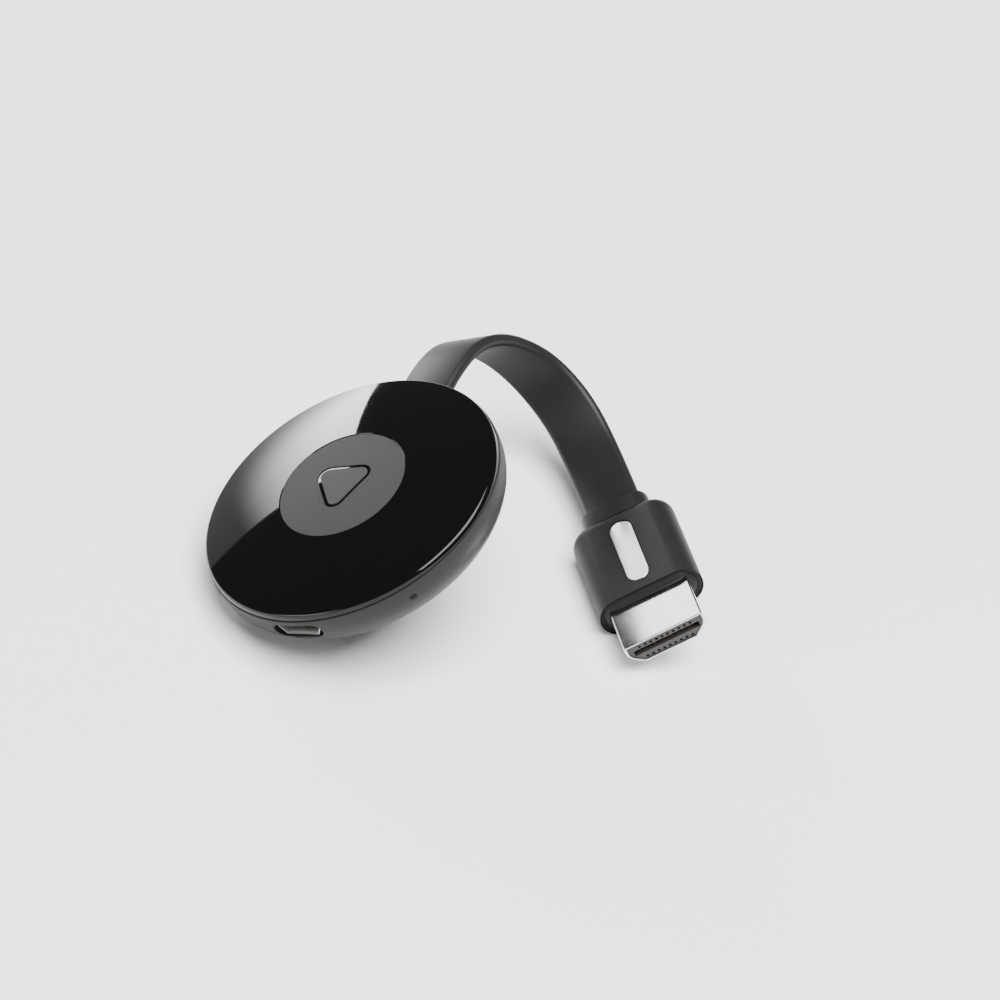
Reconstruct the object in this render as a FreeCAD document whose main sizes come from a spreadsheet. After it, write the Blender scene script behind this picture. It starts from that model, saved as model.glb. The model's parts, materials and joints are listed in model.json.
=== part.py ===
"""Puck-style streaming media player with a captive flat lead and a video plug.

Frame: millimetres, +Z up, standing as it does on a table. The puck leans on the lowest point
of its rounded rim, the plug lies on one side edge, and the flat lead arches between them.
The plug points along -Y and the puck leans about Y. The origin is on the table, below the
middle of the puck's own bounding box.

Pieces of the puck are drawn in the puck's frame: origin in the middle of its flat back, +Z
out of its glossy face. Pieces of the plug are drawn in the plug's frame: origin where the
lead enters it, -Y towards the mouth, +Z out of its steel plate. A Placement then seats them.
"""

import FreeCAD, Part
import math
import os

import Sketcher
from FreeCAD import Placement, Rotation, Vector

# Driving dimensions, in millimetres and degrees. Each becomes a named cell of the sheet.
DIMENSIONS = {
    # posture of the whole player
    "lean_angle": 29.5,
    "stand_x": 3.74,
    "stand_height": 9.967,
    "plug_x": 36.0,
    "plug_y": 8.0,
    "plug_drop": 24.395,
    # puck
    "body_radius": 25.95,
    "back_round": 7.75,
    "body_wall": 1.3,
    "housing_top": 9.0,
    "seam_width": 0.25,
    "face_radius": 25.6,
    "face_edge": 10.2,
    "face_crown": 13.49,
    "edge_round": 0.35,
    "cover_wall": 1.3,
    "tongue_outer": 24.55,
    "tongue_inner": 23.6,
    "tongue_drop": 0.7,
    "skirt_inset": 0.15,
    # emblem inlay
    "emblem_radius": 11.0,
    "emblem_sink": 0.1,
    "emblem_film": 0.15,
    "emblem_play": 0.05,
    "emblem_gap": 0.01,
    "emblem_cut": 1.0,
    "play_radius": 6.6,
    "play_corner": 1.6,
    "play_line": 0.5,
    # angles round the puck
    "lead_angle": 54.0,
    "led_angle": -80.4,
    "button_angle": -175.0,
    # board and its fixings
    "board_radius": 22.4,
    "board_base": 4.2,
    "board_thickness": 1.0,
    "notch_width": 12.8,
    "notch_start": 13.2,
    "boss_ring": 18.5,
    "boss_radius": 2.0,
    "boss_bore": 0.8,
    "boss_first": -35.0,
    "boss_bore_floor": 1.6,
    "board_hole": 0.9,
    "screw_shank": 0.78,
    "screw_head": 1.5,
    "screw_head_height": 0.9,
    "screw_reach": 3.2,
    "screw_socket": 0.5,
    "screw_slot": 1.95,
    "cutter_over": 1.0,
    # shield, second antenna and heat plate
    "shield_x": -0.8,
    "shield_length": 22.6,
    "shield_width": 21.0,
    "shield_height": 1.55,
    "shield_wall": 0.3,
    "can_grow": 0.5,
    "can_base": 0.7,
    "can_height": 1.1,
    "can_sheet": 0.2,
    "short_antenna_length": 9.0,
    "short_antenna_width": 3.0,
    "short_antenna_height": 2.2,
    "short_antenna_ring": 17.8,
    "short_antenna_turn": -50.0,
    "spreader_radius": 17.5,
    "spreader_thickness": 1.2,
    "spreader_base": 8.5,
    # openings of the housing
    "port_width": 9.2,
    "port_height": 3.9,
    "port_centre": 6.47,
    "port_depth": 3.4,
    "port_inner": 22.9,
    "rim_hole_inner": 23.4,
    "grommet_width": 12.0,
    "grommet_height": 4.2,
    "grommet_play": 0.05,
    "grommet_inner": 20.6,
    "grommet_outer": 26.3,
    "lead_height": 4.35,
    # power socket in the rim
    "socket_width": 7.6,
    "socket_height": 2.54,
    "socket_length": 5.2,
    "socket_front": 24.3,
    "socket_wall": 0.25,
    "socket_tongue_width": 4.0,
    "socket_tongue_height": 0.6,
    "socket_tongue_length": 3.6,
    "socket_back": 1.0,
    "socket_pin_width": 0.3,
    "socket_pin_pitch": 0.65,
    "socket_pin_thickness": 0.12,
    "socket_pin_length": 3.2,
    "socket_knee": 0.25,
    "socket_slope": 0.9,
    "socket_play": 0.03,
    "blade_lift": 0.35,
    # reset button
    "button_radius": 1.2,
    "button_play": 0.05,
    "button_height": 6.4,
    "button_proud": 0.2,
    "button_round": 0.2,
    "button_inner": 23.4,
    "flange_radius": 1.7,
    "flange_thickness": 0.5,
    "switch_width": 3.4,
    "switch_height": 2.2,
    "switch_depth": 2.0,
    "switch_front": 22.2,
    "plunger_radius": 0.6,
    "plunger_length": 0.7,
    # status light
    "led_height": 6.64,
    "pipe_radius": 0.58,
    "pipe_play": 0.04,
    "pipe_inner": 22.2,
    "pipe_short": 0.05,
    "lamp_high": 1.9,
    "lamp_wide": 1.6,
    "lamp_deep": 1.0,
    "lamp_ring": 21.1,
    "lamp_height": 6.15,
    # flat lead
    "lead_width": 9.8,
    "lead_thickness": 2.2,
    # plug
    "collar_width": 12.0,
    "collar_height": 5.2,
    "collar_length": 4.0,
    "collar_round": 0.5,
    "plug_width": 18.2,
    "plug_height": 7.8,
    "plug_length": 21.0,
    "shoulder_round": 2.6,
    "lip_round": 0.45,
    "recess_width": 15.6,
    "recess_height": 5.6,
    "recess_depth": 0.9,
    "core_width": 15.0,
    "core_height": 5.0,
    "core_length": 14.0,
    "plate_width": 4.0,
    "plate_length": 15.0,
    "plate_thickness": 0.6,
    "plate_start": 7.4,
    "plate_sink": 0.1,
    "plate_play": 0.12,
    "plate_round": 0.12,
    "shell_half": 7.0,
    "shell_top": 2.225,
    "shell_wall": 0.35,
    "shell_reach": 9.3,
    "shell_length": 16.0,
    "shell_knee": 0.5,
    "shell_slope": 1.1,
    "shell_shoulder": 0.5,
    "shell_foot": 2.3,
    "insulator_play": 0.03,
    "insulator_sink": 0.3,
    "insulator_length": 11.0,
    "slot_width": 11.6,
    "slot_height": 1.1,
    "slot_depth": 8.0,
    "contact_pitch": 1.0,
    "contact_width": 0.42,
    "contact_thickness": 0.16,
    "contact_length": 7.2,
    "contact_gap": 0.01,
    "hole_size": 0.46,
    "hole_depth": 3.0,
    "upper_row": 1.0,
    "lower_row": -1.5,
    "upper_count": 10,
    "lower_count": 9,
    # inside the plug
    "inside_length": 3.4,
    "inside_width": 14.0,
    "inside_height": 4.0,
    "inside_wall": 0.3,
    "plug_board_width": 12.0,
    "plug_board_length": 3.0,
    "plug_board_thickness": 0.8,
}

# Boxes on the board: length along the lead's direction, width across it, height, then the
# middle of each box's underside in the same directions and its height above the puck's back.
BOARD_BOXES = {
    "media_processor": ((13.0, 13.0, 1.0), (-4.5, 3.0, 5.2)),
    "processor_pad": ((12.0, 12.0, 0.6), (-4.5, 3.0, 6.2)),
    "memory_chip": ((7.0, 10.0, 0.85), (6.2, -4.6, 5.2)),
    "flash_chip": ((7.0, 8.6, 0.85), (6.2, 5.2, 5.2)),
    "wireless_chip": ((6.0, 5.6, 0.9), (-7.5, -6.8, 5.2)),
    "power_chip": ((3.5, 3.5, 0.8), (-0.5, -7.2, 5.2)),
    "spreader_pad": ((16.0, 16.0, 1.5), (-1.5, 0.0, 7.0)),
    "antenna_long": ((12.0, 3.2, 2.2), (0.0, 17.2, 5.2)),
    "back_magnet": ((16.0, 6.0, 1.6), (0.0, 0.0, 1.3)),
    "magnet_clip": ((19.0, 8.0, 0.3), (0.0, 0.0, 2.9)),
    "cable_connector": ((3.6, 11.0, 3.0), (15.4, 0.0, 2.85)),
    "cable_tail": ((3.4, 9.0, 1.0), (18.9, 0.0, 3.85)),
}

# The lead's route in the player's frame: the corners of its straight runs.
LEAD_ROUTE = [
    (15.04, 21.3, 21.4),
    (20.24, 29.5, 24.3),
    (28.34, 36.6, 22.4),
    (37.64, 38.0, 16.2),
    (44.44, 32.0, 10.3),
    (47.04, 20.5, 6.5),
    (47.04, 8.0, 6.5),
]
ARC_SHARE = 0.45
ARC_STEPS = 4
SOCKET_PINS = 5
FULL_TURN = 360.0

doc = FreeCAD.newDocument("streaming_player")
dims = doc.addObject("Spreadsheet::Sheet", "Dims")
finished = []


class Size:
    """A length that knows both its value and the expression over the sheet that gives it."""

    def __init__(self, text, value):
        self.text = text
        self.value = value

    def _join(self, other, sign, value):
        return Size(f"({self.text} {sign} {as_size(other).text})", value)

    def __add__(self, other):
        return self._join(other, "+", self.value + as_size(other).value)

    def __sub__(self, other):
        return self._join(other, "-", self.value - as_size(other).value)

    def __mul__(self, other):
        return self._join(other, "*", self.value * as_size(other).value)

    def __truediv__(self, other):
        return self._join(other, "/", self.value / as_size(other).value)

    def __neg__(self):
        return Size(f"(0 - {self.text})", -self.value)


def as_size(value):
    """A plain number as a Size."""
    return value if isinstance(value, Size) else Size(repr(float(value)), float(value))


def root(value):
    """The square root of a Size."""
    return Size(f"sqrt({value.text})", math.sqrt(value.value))


def size(alias):
    """The Size held in one cell of the sheet."""
    return Size(f"Dims.{alias}", float(dims.get(alias)))


def fill_sheet(cells):
    """Write each alias and value to its own row, as text."""
    for row, (alias, value) in enumerate(cells.items(), start=1):
        dims.set(f"A{row}", alias)
        dims.set(f"B{row}", str(value))
        dims.setAlias(f"B{row}", alias)
    doc.recompute()


def box_cells():
    """The sheet's cells for the boxes on the board."""
    cells = {}
    for name, (lengths, _) in BOARD_BOXES.items():
        for word, value in zip(("long", "wide", "tall"), lengths):
            cells[f"{name}_{word}"] = value
    return cells


fill_sheet({**DIMENSIONS, **box_cells()})

lean = Rotation(Vector(0, 1, 0), -size("lean_angle").value)
PUCK = Placement(Vector(size("stand_x").value, 0, size("stand_height").value), lean)
PLUG = PUCK * Placement(
    Vector(size("plug_x").value, size("plug_y").value, -size("plug_drop").value), Rotation()
)


def round_the_puck(angle):
    """A turn about the puck's own axis."""
    return Placement(Vector(), Rotation(Vector(0, 0, 1), angle))


def outwards(angle, radius, height):
    """A Placement whose +Z points out of the puck's rim, at a radius and a height."""
    return (
        round_the_puck(angle)
        * Placement(Vector(radius, 0, height), Rotation(Vector(0, 1, 0), 90))
    )


def keep(feature, label, placement):
    """Name a finished sub-part and seat it."""
    feature.Label = label
    feature.Placement = placement
    finished.append(feature)
    return feature


def bind(feature, **sizes):
    """Tie properties of a feature to the sheet."""
    for name, value in sizes.items():
        feature.setExpression(name, as_size(value).text)
    return feature


def primitive(kind, name, **sizes):
    """A Part primitive tied to the sheet."""
    return bind(doc.addObject(f"Part::{kind}", name), **sizes)


def centred_box(name, length, width, height, base=None):
    """A box whose underside is centred on the origin, or stands at base above it."""
    box = primitive("Box", name, Length=length, Width=width, Height=height)
    half_length, half_width = as_size(length) / 2, as_size(width) / 2
    bind(box, **{"Placement.Base.x": -half_length, "Placement.Base.y": -half_width})
    if base is not None:
        bind(box, **{"Placement.Base.z": base})
    return box


def boolean(kind, name, base, tool):
    """Cut, Common or Fuse of two features."""
    feature = doc.addObject(f"Part::{kind}", name)
    feature.Base = base
    feature.Tool = tool
    return feature


def fuse_all(name, features):
    """One feature out of several."""
    feature = doc.addObject("Part::MultiFuse", name)
    feature.Shapes = features
    return feature


def group(name, features):
    """Several separate solids as one sub-part."""
    feature = doc.addObject("Part::Compound", name)
    feature.Links = features
    return feature


def body_of(name):
    """A new PartDesign body."""
    return doc.addObject("PartDesign::Body", name)


def sketch_on(body, name, role, offset=None):
    """A sketch on one of the body's origin planes, moved along its normal by offset."""
    sketch = body.newObject("Sketcher::SketchObject", name)
    plane = [item for item in body.Origin.OriginFeatures if item.Role == role][0]
    sketch.AttachmentSupport = [(plane, "")]
    sketch.MapMode = "FlatFace"
    if offset is not None:
        sketch.setExpression("AttachmentOffset.Base.z", as_size(offset).text)
    return sketch


def pin(sketch, kind, geometry, end, value):
    """Hold one coordinate of a point of an edge: kind is DistanceX or DistanceY."""
    value = as_size(value)
    if value.value == 0:
        axis = -2 if kind == "DistanceX" else -1
        sketch.addConstraint(Sketcher.Constraint("PointOnObject", geometry, end, axis))
        return
    index = sketch.addConstraint(Sketcher.Constraint(kind, -1, 1, geometry, end, value.value))
    sketch.setExpression(f"Constraints[{index}]", value.text)


def add_arc(sketch, start, end, centre_x, centre_y):
    """An arc from start to end, whose centre's one free coordinate is held to the sheet."""
    centre = Vector(centre_x.value, centre_y.value, 0)
    chord = end - start
    out = (start + end) * 0.5 - centre
    if out.Length < 1e-6 * chord.Length:
        out = Vector(chord.y, -chord.x, 0)
    middle = centre + out.normalize() * (start - centre).Length
    arc = sketch.addGeometry(Part.Arc(start, middle, end))
    if abs(chord.y) > abs(chord.x):
        pin(sketch, "DistanceX", arc, 3, centre_x)
    else:
        pin(sketch, "DistanceY", arc, 3, centre_y)
    turned = (sketch.getPoint(arc, 1) - start).Length > 1e-6
    return (arc, 2, 1) if turned else (arc, 1, 2)


def outline(sketch, corners):
    """A closed outline. A corner is (x, y), or (x, y, cx, cy) where an arc about (cx, cy) leaves it."""
    points = [(as_size(corner[0]), as_size(corner[1])) for corner in corners]
    edges = []
    for corner, (ax, ay), (bx, by) in zip(corners, points, points[1:] + points[:1]):
        start, end = Vector(ax.value, ay.value, 0), Vector(bx.value, by.value, 0)
        if len(corner) == 2:
            edges.append((sketch.addGeometry(Part.LineSegment(start, end)), 1, 2))
        else:
            edges.append(add_arc(sketch, start, end, as_size(corner[2]), as_size(corner[3])))
    for index, (edge, first, last) in enumerate(edges):
        following, following_first, _ = edges[(index + 1) % len(edges)]
        sketch.addConstraint(
            Sketcher.Constraint("Coincident", edge, last, following, following_first)
        )
        pin(sketch, "DistanceX", edge, first, points[index][0])
        pin(sketch, "DistanceY", edge, first, points[index][1])
    return sketch


def stadium(sketch, width, height):
    """A slot shape centred on the sketch's origin, long along its x."""
    half, radius = as_size(width) / 2 - as_size(height) / 2, as_size(height) / 2
    return outline(
        sketch,
        [(-half, -radius), (half, -radius, half, 0), (half, radius), (-half, radius, -half, 0)],
    )


def rectangle(sketch, width, height, x=0.0, y=0.0):
    """A rectangle about the point x, y of the sketch."""
    x, y = as_size(x), as_size(y)
    half_width, half_height = as_size(width) / 2, as_size(height) / 2
    left, right, low, high = x - half_width, x + half_width, y - half_height, y + half_height
    return outline(sketch, [(left, low), (right, low), (right, high), (left, high)])


def pad(body, sketch, length, name, reverse=False):
    """Raise a sketch into a solid."""
    feature = body.newObject("PartDesign::Pad", name)
    feature.Profile = sketch
    feature.Reversed = reverse
    feature.setExpression("Length", as_size(length).text)
    doc.recompute()
    return feature


def pocket(body, sketch, length, name, reverse=False):
    """Cut a sketch into a solid, and insist that something is cut."""
    before = body.Shape.Volume
    feature = body.newObject("PartDesign::Pocket", name)
    feature.Profile = sketch
    feature.Reversed = reverse
    feature.setExpression("Length", as_size(length).text)
    doc.recompute()
    if body.Shape.Volume >= before - 1e-6:
        raise RuntimeError(f"{name} cuts nothing")
    return feature


def revolve(body, sketch, name):
    """A full turn of a sketch about its upright axis."""
    feature = body.newObject("PartDesign::Revolution", name)
    feature.Profile = sketch
    feature.ReferenceAxis = (sketch, ["V_Axis"])
    feature.Angle = FULL_TURN
    doc.recompute()
    return feature


def round_edges(body, picked, radius, name):
    """Fillet the edges of the body's tip that picked accepts."""
    tip = body.Tip
    names = [f"Edge{i}" for i, edge in enumerate(tip.Shape.Edges, start=1) if picked(edge)]
    feature = body.newObject("PartDesign::Fillet", name)
    feature.Base = (tip, names)
    feature.setExpression("Radius", as_size(radius).text)
    doc.recompute()
    return feature


def edge_in_plane(axis, value, tolerance=1e-4):
    """A test for edges that lie wholly at one value along x, y or z."""

    def lies(edge):
        box = edge.BoundBox
        low, high = getattr(box, f"{axis}Min"), getattr(box, f"{axis}Max")
        return abs(low - value) < tolerance and abs(high - value) < tolerance

    return lies


# ---------------------------------------------------------------- puck: housing and cover


def boss_angles():
    """The three screw bosses, a quarter and a half turn clear of the socket and the lead."""
    first = size("boss_first").value
    return [first + FULL_TURN * step / 3 for step in range(3)]


def boss_place(angle):
    """Where a boss stands on the housing's floor."""
    return round_the_puck(angle) * Placement(Vector(size("boss_ring").value, 0, 0), Rotation())


def build_lower_housing():
    """The grey cup: a flat back rolled up into the rim, with its openings and screw bosses."""
    radius, bend, wall = size("body_radius"), size("back_round"), size("body_wall")
    top = size("housing_top")
    flat = radius - bend
    body = body_of("housing_cup")
    sketch = sketch_on(body, "housing_profile", "XZ_Plane")
    outline(
        sketch,
        [
            (0, 0),
            (flat, 0, flat, bend),
            (radius, bend),
            (radius, top),
            (radius - wall, top),
            (radius - wall, bend, flat, bend),
            (flat, wall),
            (0, wall),
        ],
    )
    revolve(body, sketch, "housing_turn")

    bosses = []
    bores = []
    for number, angle in enumerate(boss_angles(), start=1):
        boss = primitive(
            "Cylinder",
            f"boss_{number}",
            Radius=size("boss_radius"),
            Height=size("board_base") - wall / 2,
        )
        boss.Placement = boss_place(angle) * Placement(Vector(0, 0, wall.value / 2), Rotation())
        bosses.append(boss)
        bore = primitive(
            "Cylinder", f"boss_bore_{number}", Radius=size("boss_bore"), Height=size("board_base")
        )
        bore.Placement = boss_place(angle) * Placement(
            Vector(0, 0, size("boss_bore_floor").value), Rotation()
        )
        bores.append(bore)

    port = body_of("port_cutter")
    stadium(sketch_on(port, "port_profile", "XY_Plane"), size("port_width"), size("port_height"))
    pad(port, port.Group[0], size("port_depth"), "port_pad")
    port.Placement = port_place("port_inner")

    exit_hole = body_of("lead_cutter")
    play = size("grommet_play") * 2
    stadium(
        sketch_on(exit_hole, "lead_cutter_profile", "XY_Plane"),
        size("grommet_width") + play,
        size("grommet_height") + play,
    )
    depth = size("grommet_outer") - size("grommet_inner")
    pad(exit_hole, exit_hole.Group[0], depth, "lead_cutter_pad")
    exit_hole.Placement = across_the_rim(
        size("lead_angle").value, size("grommet_inner").value, size("lead_height").value
    )

    light_hole = rim_hole("light_hole", size("pipe_radius") + size("pipe_play"), "led")
    button_hole = rim_hole("button_hole", size("button_radius") + size("button_play"), "button")

    cup = fuse_all("housing_with_bosses", [body, *bosses])
    openings = fuse_all("housing_openings", [port, exit_hole, light_hole, button_hole, *bores])
    keep(boolean("Cut", "lower_housing", cup, openings), "lower_housing", PUCK)


def rim_hole(name, radius, word):
    """A round cutter through the rim, at the angle and height that a word's cells give."""
    hole = primitive("Cylinder", name, Radius=radius, Height=size("port_depth"))
    hole.Placement = outwards(
        size(f"{word}_angle").value, size("rim_hole_inner").value, size(f"{word}_height").value
    )
    return hole


def across_the_rim(angle, radius, height):
    """A Placement out of the rim, with its x lying level along the rim."""
    return outwards(angle, radius, height) * Placement(
        Vector(), Rotation(Vector(0, 0, 1), 90)
    )


def dome_radius():
    """Radius of the sphere that the glossy face is a cap of."""
    rise = size("face_crown") - size("face_edge")
    face = size("face_radius")
    return (face * face + rise * rise) / (rise * 2)


def ball(name, sink):
    """The face's sphere, sunk below its surface."""
    sphere = primitive("Sphere", name, Radius=dome_radius() - as_size(sink))
    bind(sphere, **{"Placement.Base.z": size("face_crown") - dome_radius()})
    return sphere


def play_prism(name, grow):
    """A rounded triangle, upright through the face, pointing along the lead."""
    circumradius = size("play_radius") + as_size(grow) * 2
    prism = primitive(
        "Prism", f"{name}_prism", Circumradius=circumradius, Height=size("face_crown")
    )
    prism.Polygon = 3
    doc.recompute()
    rounded = doc.addObject("Part::Fillet", name)
    rounded.Base = prism
    radius = size("play_corner").value + as_size(grow).value
    upright = [
        (index, radius, radius)
        for index, edge in enumerate(prism.Shape.Edges, start=1)
        if edge.BoundBox.ZLength > size("face_edge").value
    ]
    rounded.Edges = upright
    bind(prism, **{"Placement.Base.z": size("face_edge") - size("emblem_cut")})
    return rounded


def disc(name, radius):
    """An upright disc through the face, as wide as the emblem."""
    cylinder = primitive("Cylinder", name, Radius=radius, Height=size("face_crown"))
    bind(cylinder, **{"Placement.Base.z": size("face_edge") - size("emblem_cut")})
    return cylinder


def build_top_cover():
    """The glossy domed cover, with its skirt, its snap tongue and the emblem's two pockets."""
    radius, edge, crown = size("face_radius"), size("face_edge"), size("face_crown")
    wall, skirt = size("cover_wall"), size("housing_top") + size("seam_width")
    outer, inner = size("tongue_outer"), size("tongue_inner")
    centre = crown - dome_radius()
    flare = size("body_radius") - size("skirt_inset")
    hollow = dome_radius() - wall
    inner_edge = centre + root(hollow * hollow - inner * inner)
    body = body_of("cover_dome")
    sketch = sketch_on(body, "cover_profile", "XZ_Plane")
    low = size("housing_top") - size("tongue_drop")
    outline(
        sketch,
        [
            (0, crown, 0, centre),
            (radius, edge),
            (flare, skirt),
            (outer, skirt),
            (outer, low),
            (inner, low),
            (inner, inner_edge, 0, centre),
            (0, crown - wall),
        ],
    )
    revolve(body, sketch, "cover_turn")
    at_edge = edge_in_plane("Z", edge.value)
    round_edges(body, at_edge, size("edge_round"), "cover_edge_round")

    play, line = size("emblem_play"), size("play_line")
    ring = boolean(
        "Cut", "ring_pocket_plan", disc("pocket_disc", size("emblem_radius") + play),
        play_prism("pocket_ridge", line / 2),
    )
    plan = fuse_all("pocket_plan", [ring, play_prism("pocket_heart", -(line / 2))])
    sink = size("emblem_sink") + size("emblem_film") + size("emblem_gap")
    deep = ball("pocket_floor", sink)
    pockets = boolean("Cut", "emblem_pockets", plan, deep)
    keep(boolean("Cut", "top_cover", body, pockets), "top_cover", PUCK)


def build_emblem():
    """The matte inlay: a disc with a rounded triangular window, and the triangle inside it."""
    play, line = size("emblem_play"), size("play_line")
    sink, film = size("emblem_sink"), size("emblem_film")

    def film_of(name, plan):
        upper = boolean("Common", f"{name}_upper", plan, ball(f"{name}_skin", sink))
        return boolean("Cut", name, upper, ball(f"{name}_under", sink + film))

    ring_plan = boolean(
        "Cut", "ring_plan", disc("ring_disc", size("emblem_radius")),
        play_prism("ring_window", line / 2 + play),
    )
    keep(film_of("emblem_ring", ring_plan), "emblem_ring", PUCK)
    heart = play_prism("heart_plan", -(line / 2) - play)
    keep(film_of("emblem_triangle", heart), "emblem_triangle", PUCK)


# ------------------------------------------------------------------ puck: board and inside


def build_main_board():
    """The round board, notched where the lead's connector sits, drilled for three screws."""
    board = primitive(
        "Cylinder", "board_disc", Radius=size("board_radius"), Height=size("board_thickness")
    )
    bind(board, **{"Placement.Base.z": size("board_base")})
    over = size("cutter_over")
    depth, below = size("board_thickness") + over * 2, (size("board_base") - over).value
    reach = size("board_radius") - size("notch_start") + over
    notch = primitive("Box", "board_notch", Length=reach, Width=size("notch_width"), Height=depth)
    corner = Vector(size("notch_start").value, -size("notch_width").value / 2, below)
    notch.Placement = round_the_puck(size("lead_angle").value) * Placement(corner, Rotation())
    holes = []
    for number, angle in enumerate(boss_angles(), start=1):
        hole = primitive("Cylinder", f"board_hole_{number}", Radius=size("board_hole"), Height=depth)
        hole.Placement = boss_place(angle) * Placement(Vector(0, 0, below), Rotation())
        holes.append(hole)
    cutters = fuse_all("board_cutters", [notch, *holes])
    keep(boolean("Cut", "main_board", board, cutters), "main_board", PUCK)


def build_board_screws():
    """Three pan-head screws that hold the board down on its bosses."""
    screws = []
    seat = size("board_base").value + size("board_thickness").value
    for number, angle in enumerate(boss_angles(), start=1):
        body = body_of(f"screw_{number}")
        sketch = sketch_on(body, f"screw_profile_{number}", "XZ_Plane")
        shank, head = size("screw_shank"), size("screw_head")
        height, reach = size("screw_head_height"), size("screw_reach")
        outline(
            sketch,
            [(0, -reach), (shank, -reach), (shank, 0), (head, 0), (head, height), (0, height)],
        )
        revolve(body, sketch, f"screw_turn_{number}")
        drive = sketch_on(body, f"screw_drive_{number}", "XY_Plane", size("screw_head_height"))
        rectangle(drive, size("screw_slot"), size("screw_socket"))
        pocket(body, drive, size("screw_socket"), f"screw_slot_{number}")
        body.Placement = boss_place(angle) * Placement(Vector(0, 0, seat), Rotation())
        screws.append(body)
    keep(group("board_screws", screws), "board_screws", PUCK)


def board_place(point, turn=0.0):
    """A Placement square to the lead, or turned from it, at a point above the puck's back."""
    turned = round_the_puck(size("lead_angle").value + turn)
    return PUCK * turned * Placement(point, Rotation())


def board_top():
    """Height of the board's upper face above the puck's back."""
    return (size("board_base") + size("board_thickness")).value


def build_board_boxes():
    """Chips, pads, magnet, connector and the other plain blocks, set square to the lead."""
    for name, (_, seat) in BOARD_BOXES.items():
        length, width, height = (size(f"{name}_{word}") for word in ("long", "wide", "tall"))
        box = centred_box(f"{name}_block", length, width, height)
        keep(group(name, [box]), name, board_place(Vector(*seat)))


def build_antenna_short():
    """The second antenna, near the board's edge between the lead and the status light."""
    length, width, height = (size(f"short_antenna_{word}") for word in ("length", "width", "height"))
    box = centred_box("antenna_short_block", width, length, height)
    point = Vector(size("short_antenna_ring").value, 0, board_top())
    place = board_place(point, size("short_antenna_turn").value)
    keep(group("antenna_short", [box]), "antenna_short", place)


def build_shield():
    """The soldered wall round the chips and the lid that clips over it."""
    square = board_place(Vector(size("shield_x").value, 0, board_top()))
    length, width, tall = size("shield_length"), size("shield_width"), size("shield_height")
    walls, over = size("shield_wall") * 2, size("cutter_over")
    frame = boolean(
        "Cut",
        "shield_frame",
        centred_box("frame_outer", length, width, tall),
        centred_box("frame_inner", length - walls, width - walls, tall + over),
    )
    keep(frame, "shield_frame", square)
    grow, sheets = size("can_grow"), size("can_sheet") * 2
    base, height = size("can_base"), size("can_height")
    can = boolean(
        "Cut",
        "shield_can",
        centred_box("can_outer", length + grow, width + grow, height, base),
        centred_box(
            "can_inner",
            length + grow - sheets,
            width + grow - sheets,
            height - size("can_sheet"),
            base,
        ),
    )
    keep(can, "shield_can", square)


def build_heat_spreader():
    """The round aluminium plate that carries the processor's heat to the cover."""
    plate = primitive(
        "Cylinder", "spreader_disc", Radius=size("spreader_radius"), Height=size("spreader_thickness")
    )
    bind(plate, **{"Placement.Base.z": size("spreader_base")})
    keep(group("heat_spreader", [plate]), "heat_spreader", PUCK)


def port_place(alias, shift=0.0):
    """Out of the rim at the power socket, with x level along the rim, in the puck's frame."""
    radius = size(alias).value + shift
    return across_the_rim(size("lead_angle").value + 180.0, radius, size("port_centre").value)


def port_outline(sketch, inset):
    """The socket's outline: square above, sloping in below."""
    half, tall = size("socket_width") / 2 - inset, size("socket_height") / 2 - inset
    knee, narrow = size("socket_knee"), half - size("socket_slope")
    right = [(narrow, -tall), (half, knee), (half, tall)]
    left = [(-half, tall), (-half, knee), (-narrow, -tall)]
    return outline(sketch, left + right)


def build_power_socket():
    """The power socket: a folded metal shell, a plastic tongue on its back wall, five pins."""
    shell = body_of("port_shell_body")
    port_outline(sketch_on(shell, "port_shell_outer", "XY_Plane"), as_size(0.0))
    pad(shell, shell.Group[0], size("socket_length"), "port_shell_pad")
    inner = sketch_on(shell, "port_shell_inner", "XY_Plane")
    port_outline(inner, size("socket_wall"))
    pocket(shell, inner, size("socket_length"), "port_shell_mouth", reverse=True)
    seat = PUCK * port_place("socket_front", -size("socket_length").value)
    keep(shell, "port_shell", seat)

    block = body_of("port_tongue_body")
    back = sketch_on(block, "port_back_outline", "XY_Plane")
    port_outline(back, size("socket_wall") + size("socket_play"))
    pad(block, back, size("socket_back"), "port_back_pad")
    blade = sketch_on(block, "port_blade", "XY_Plane")
    blade_height, lift = size("socket_tongue_height"), size("blade_lift")
    rectangle(blade, size("socket_tongue_width"), blade_height, 0.0, lift)
    pad(block, blade, size("socket_back") + size("socket_tongue_length"), "port_blade_pad")
    keep(block, "port_tongue", seat)

    pins = []
    width, thick = size("socket_pin_width"), size("socket_pin_thickness")
    middle = (lift - blade_height / 2 - thick / 2).value
    for number in range(SOCKET_PINS):
        bar = centred_box(f"socket_pin_{number + 1}", width, thick, size("socket_pin_length"))
        shift = (number - (SOCKET_PINS - 1) / 2) * size("socket_pin_pitch").value
        holder = group(f"socket_pin_seat_{number + 1}", [bar])
        holder.Placement = Placement(Vector(shift, middle, size("socket_back").value), Rotation())
        pins.append(holder)
    keep(group("port_contacts", pins), "port_contacts", seat)


def button_place(radius):
    """Out of the rim at the reset button."""
    return PUCK * outwards(size("button_angle").value, radius, size("button_height").value)


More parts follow.
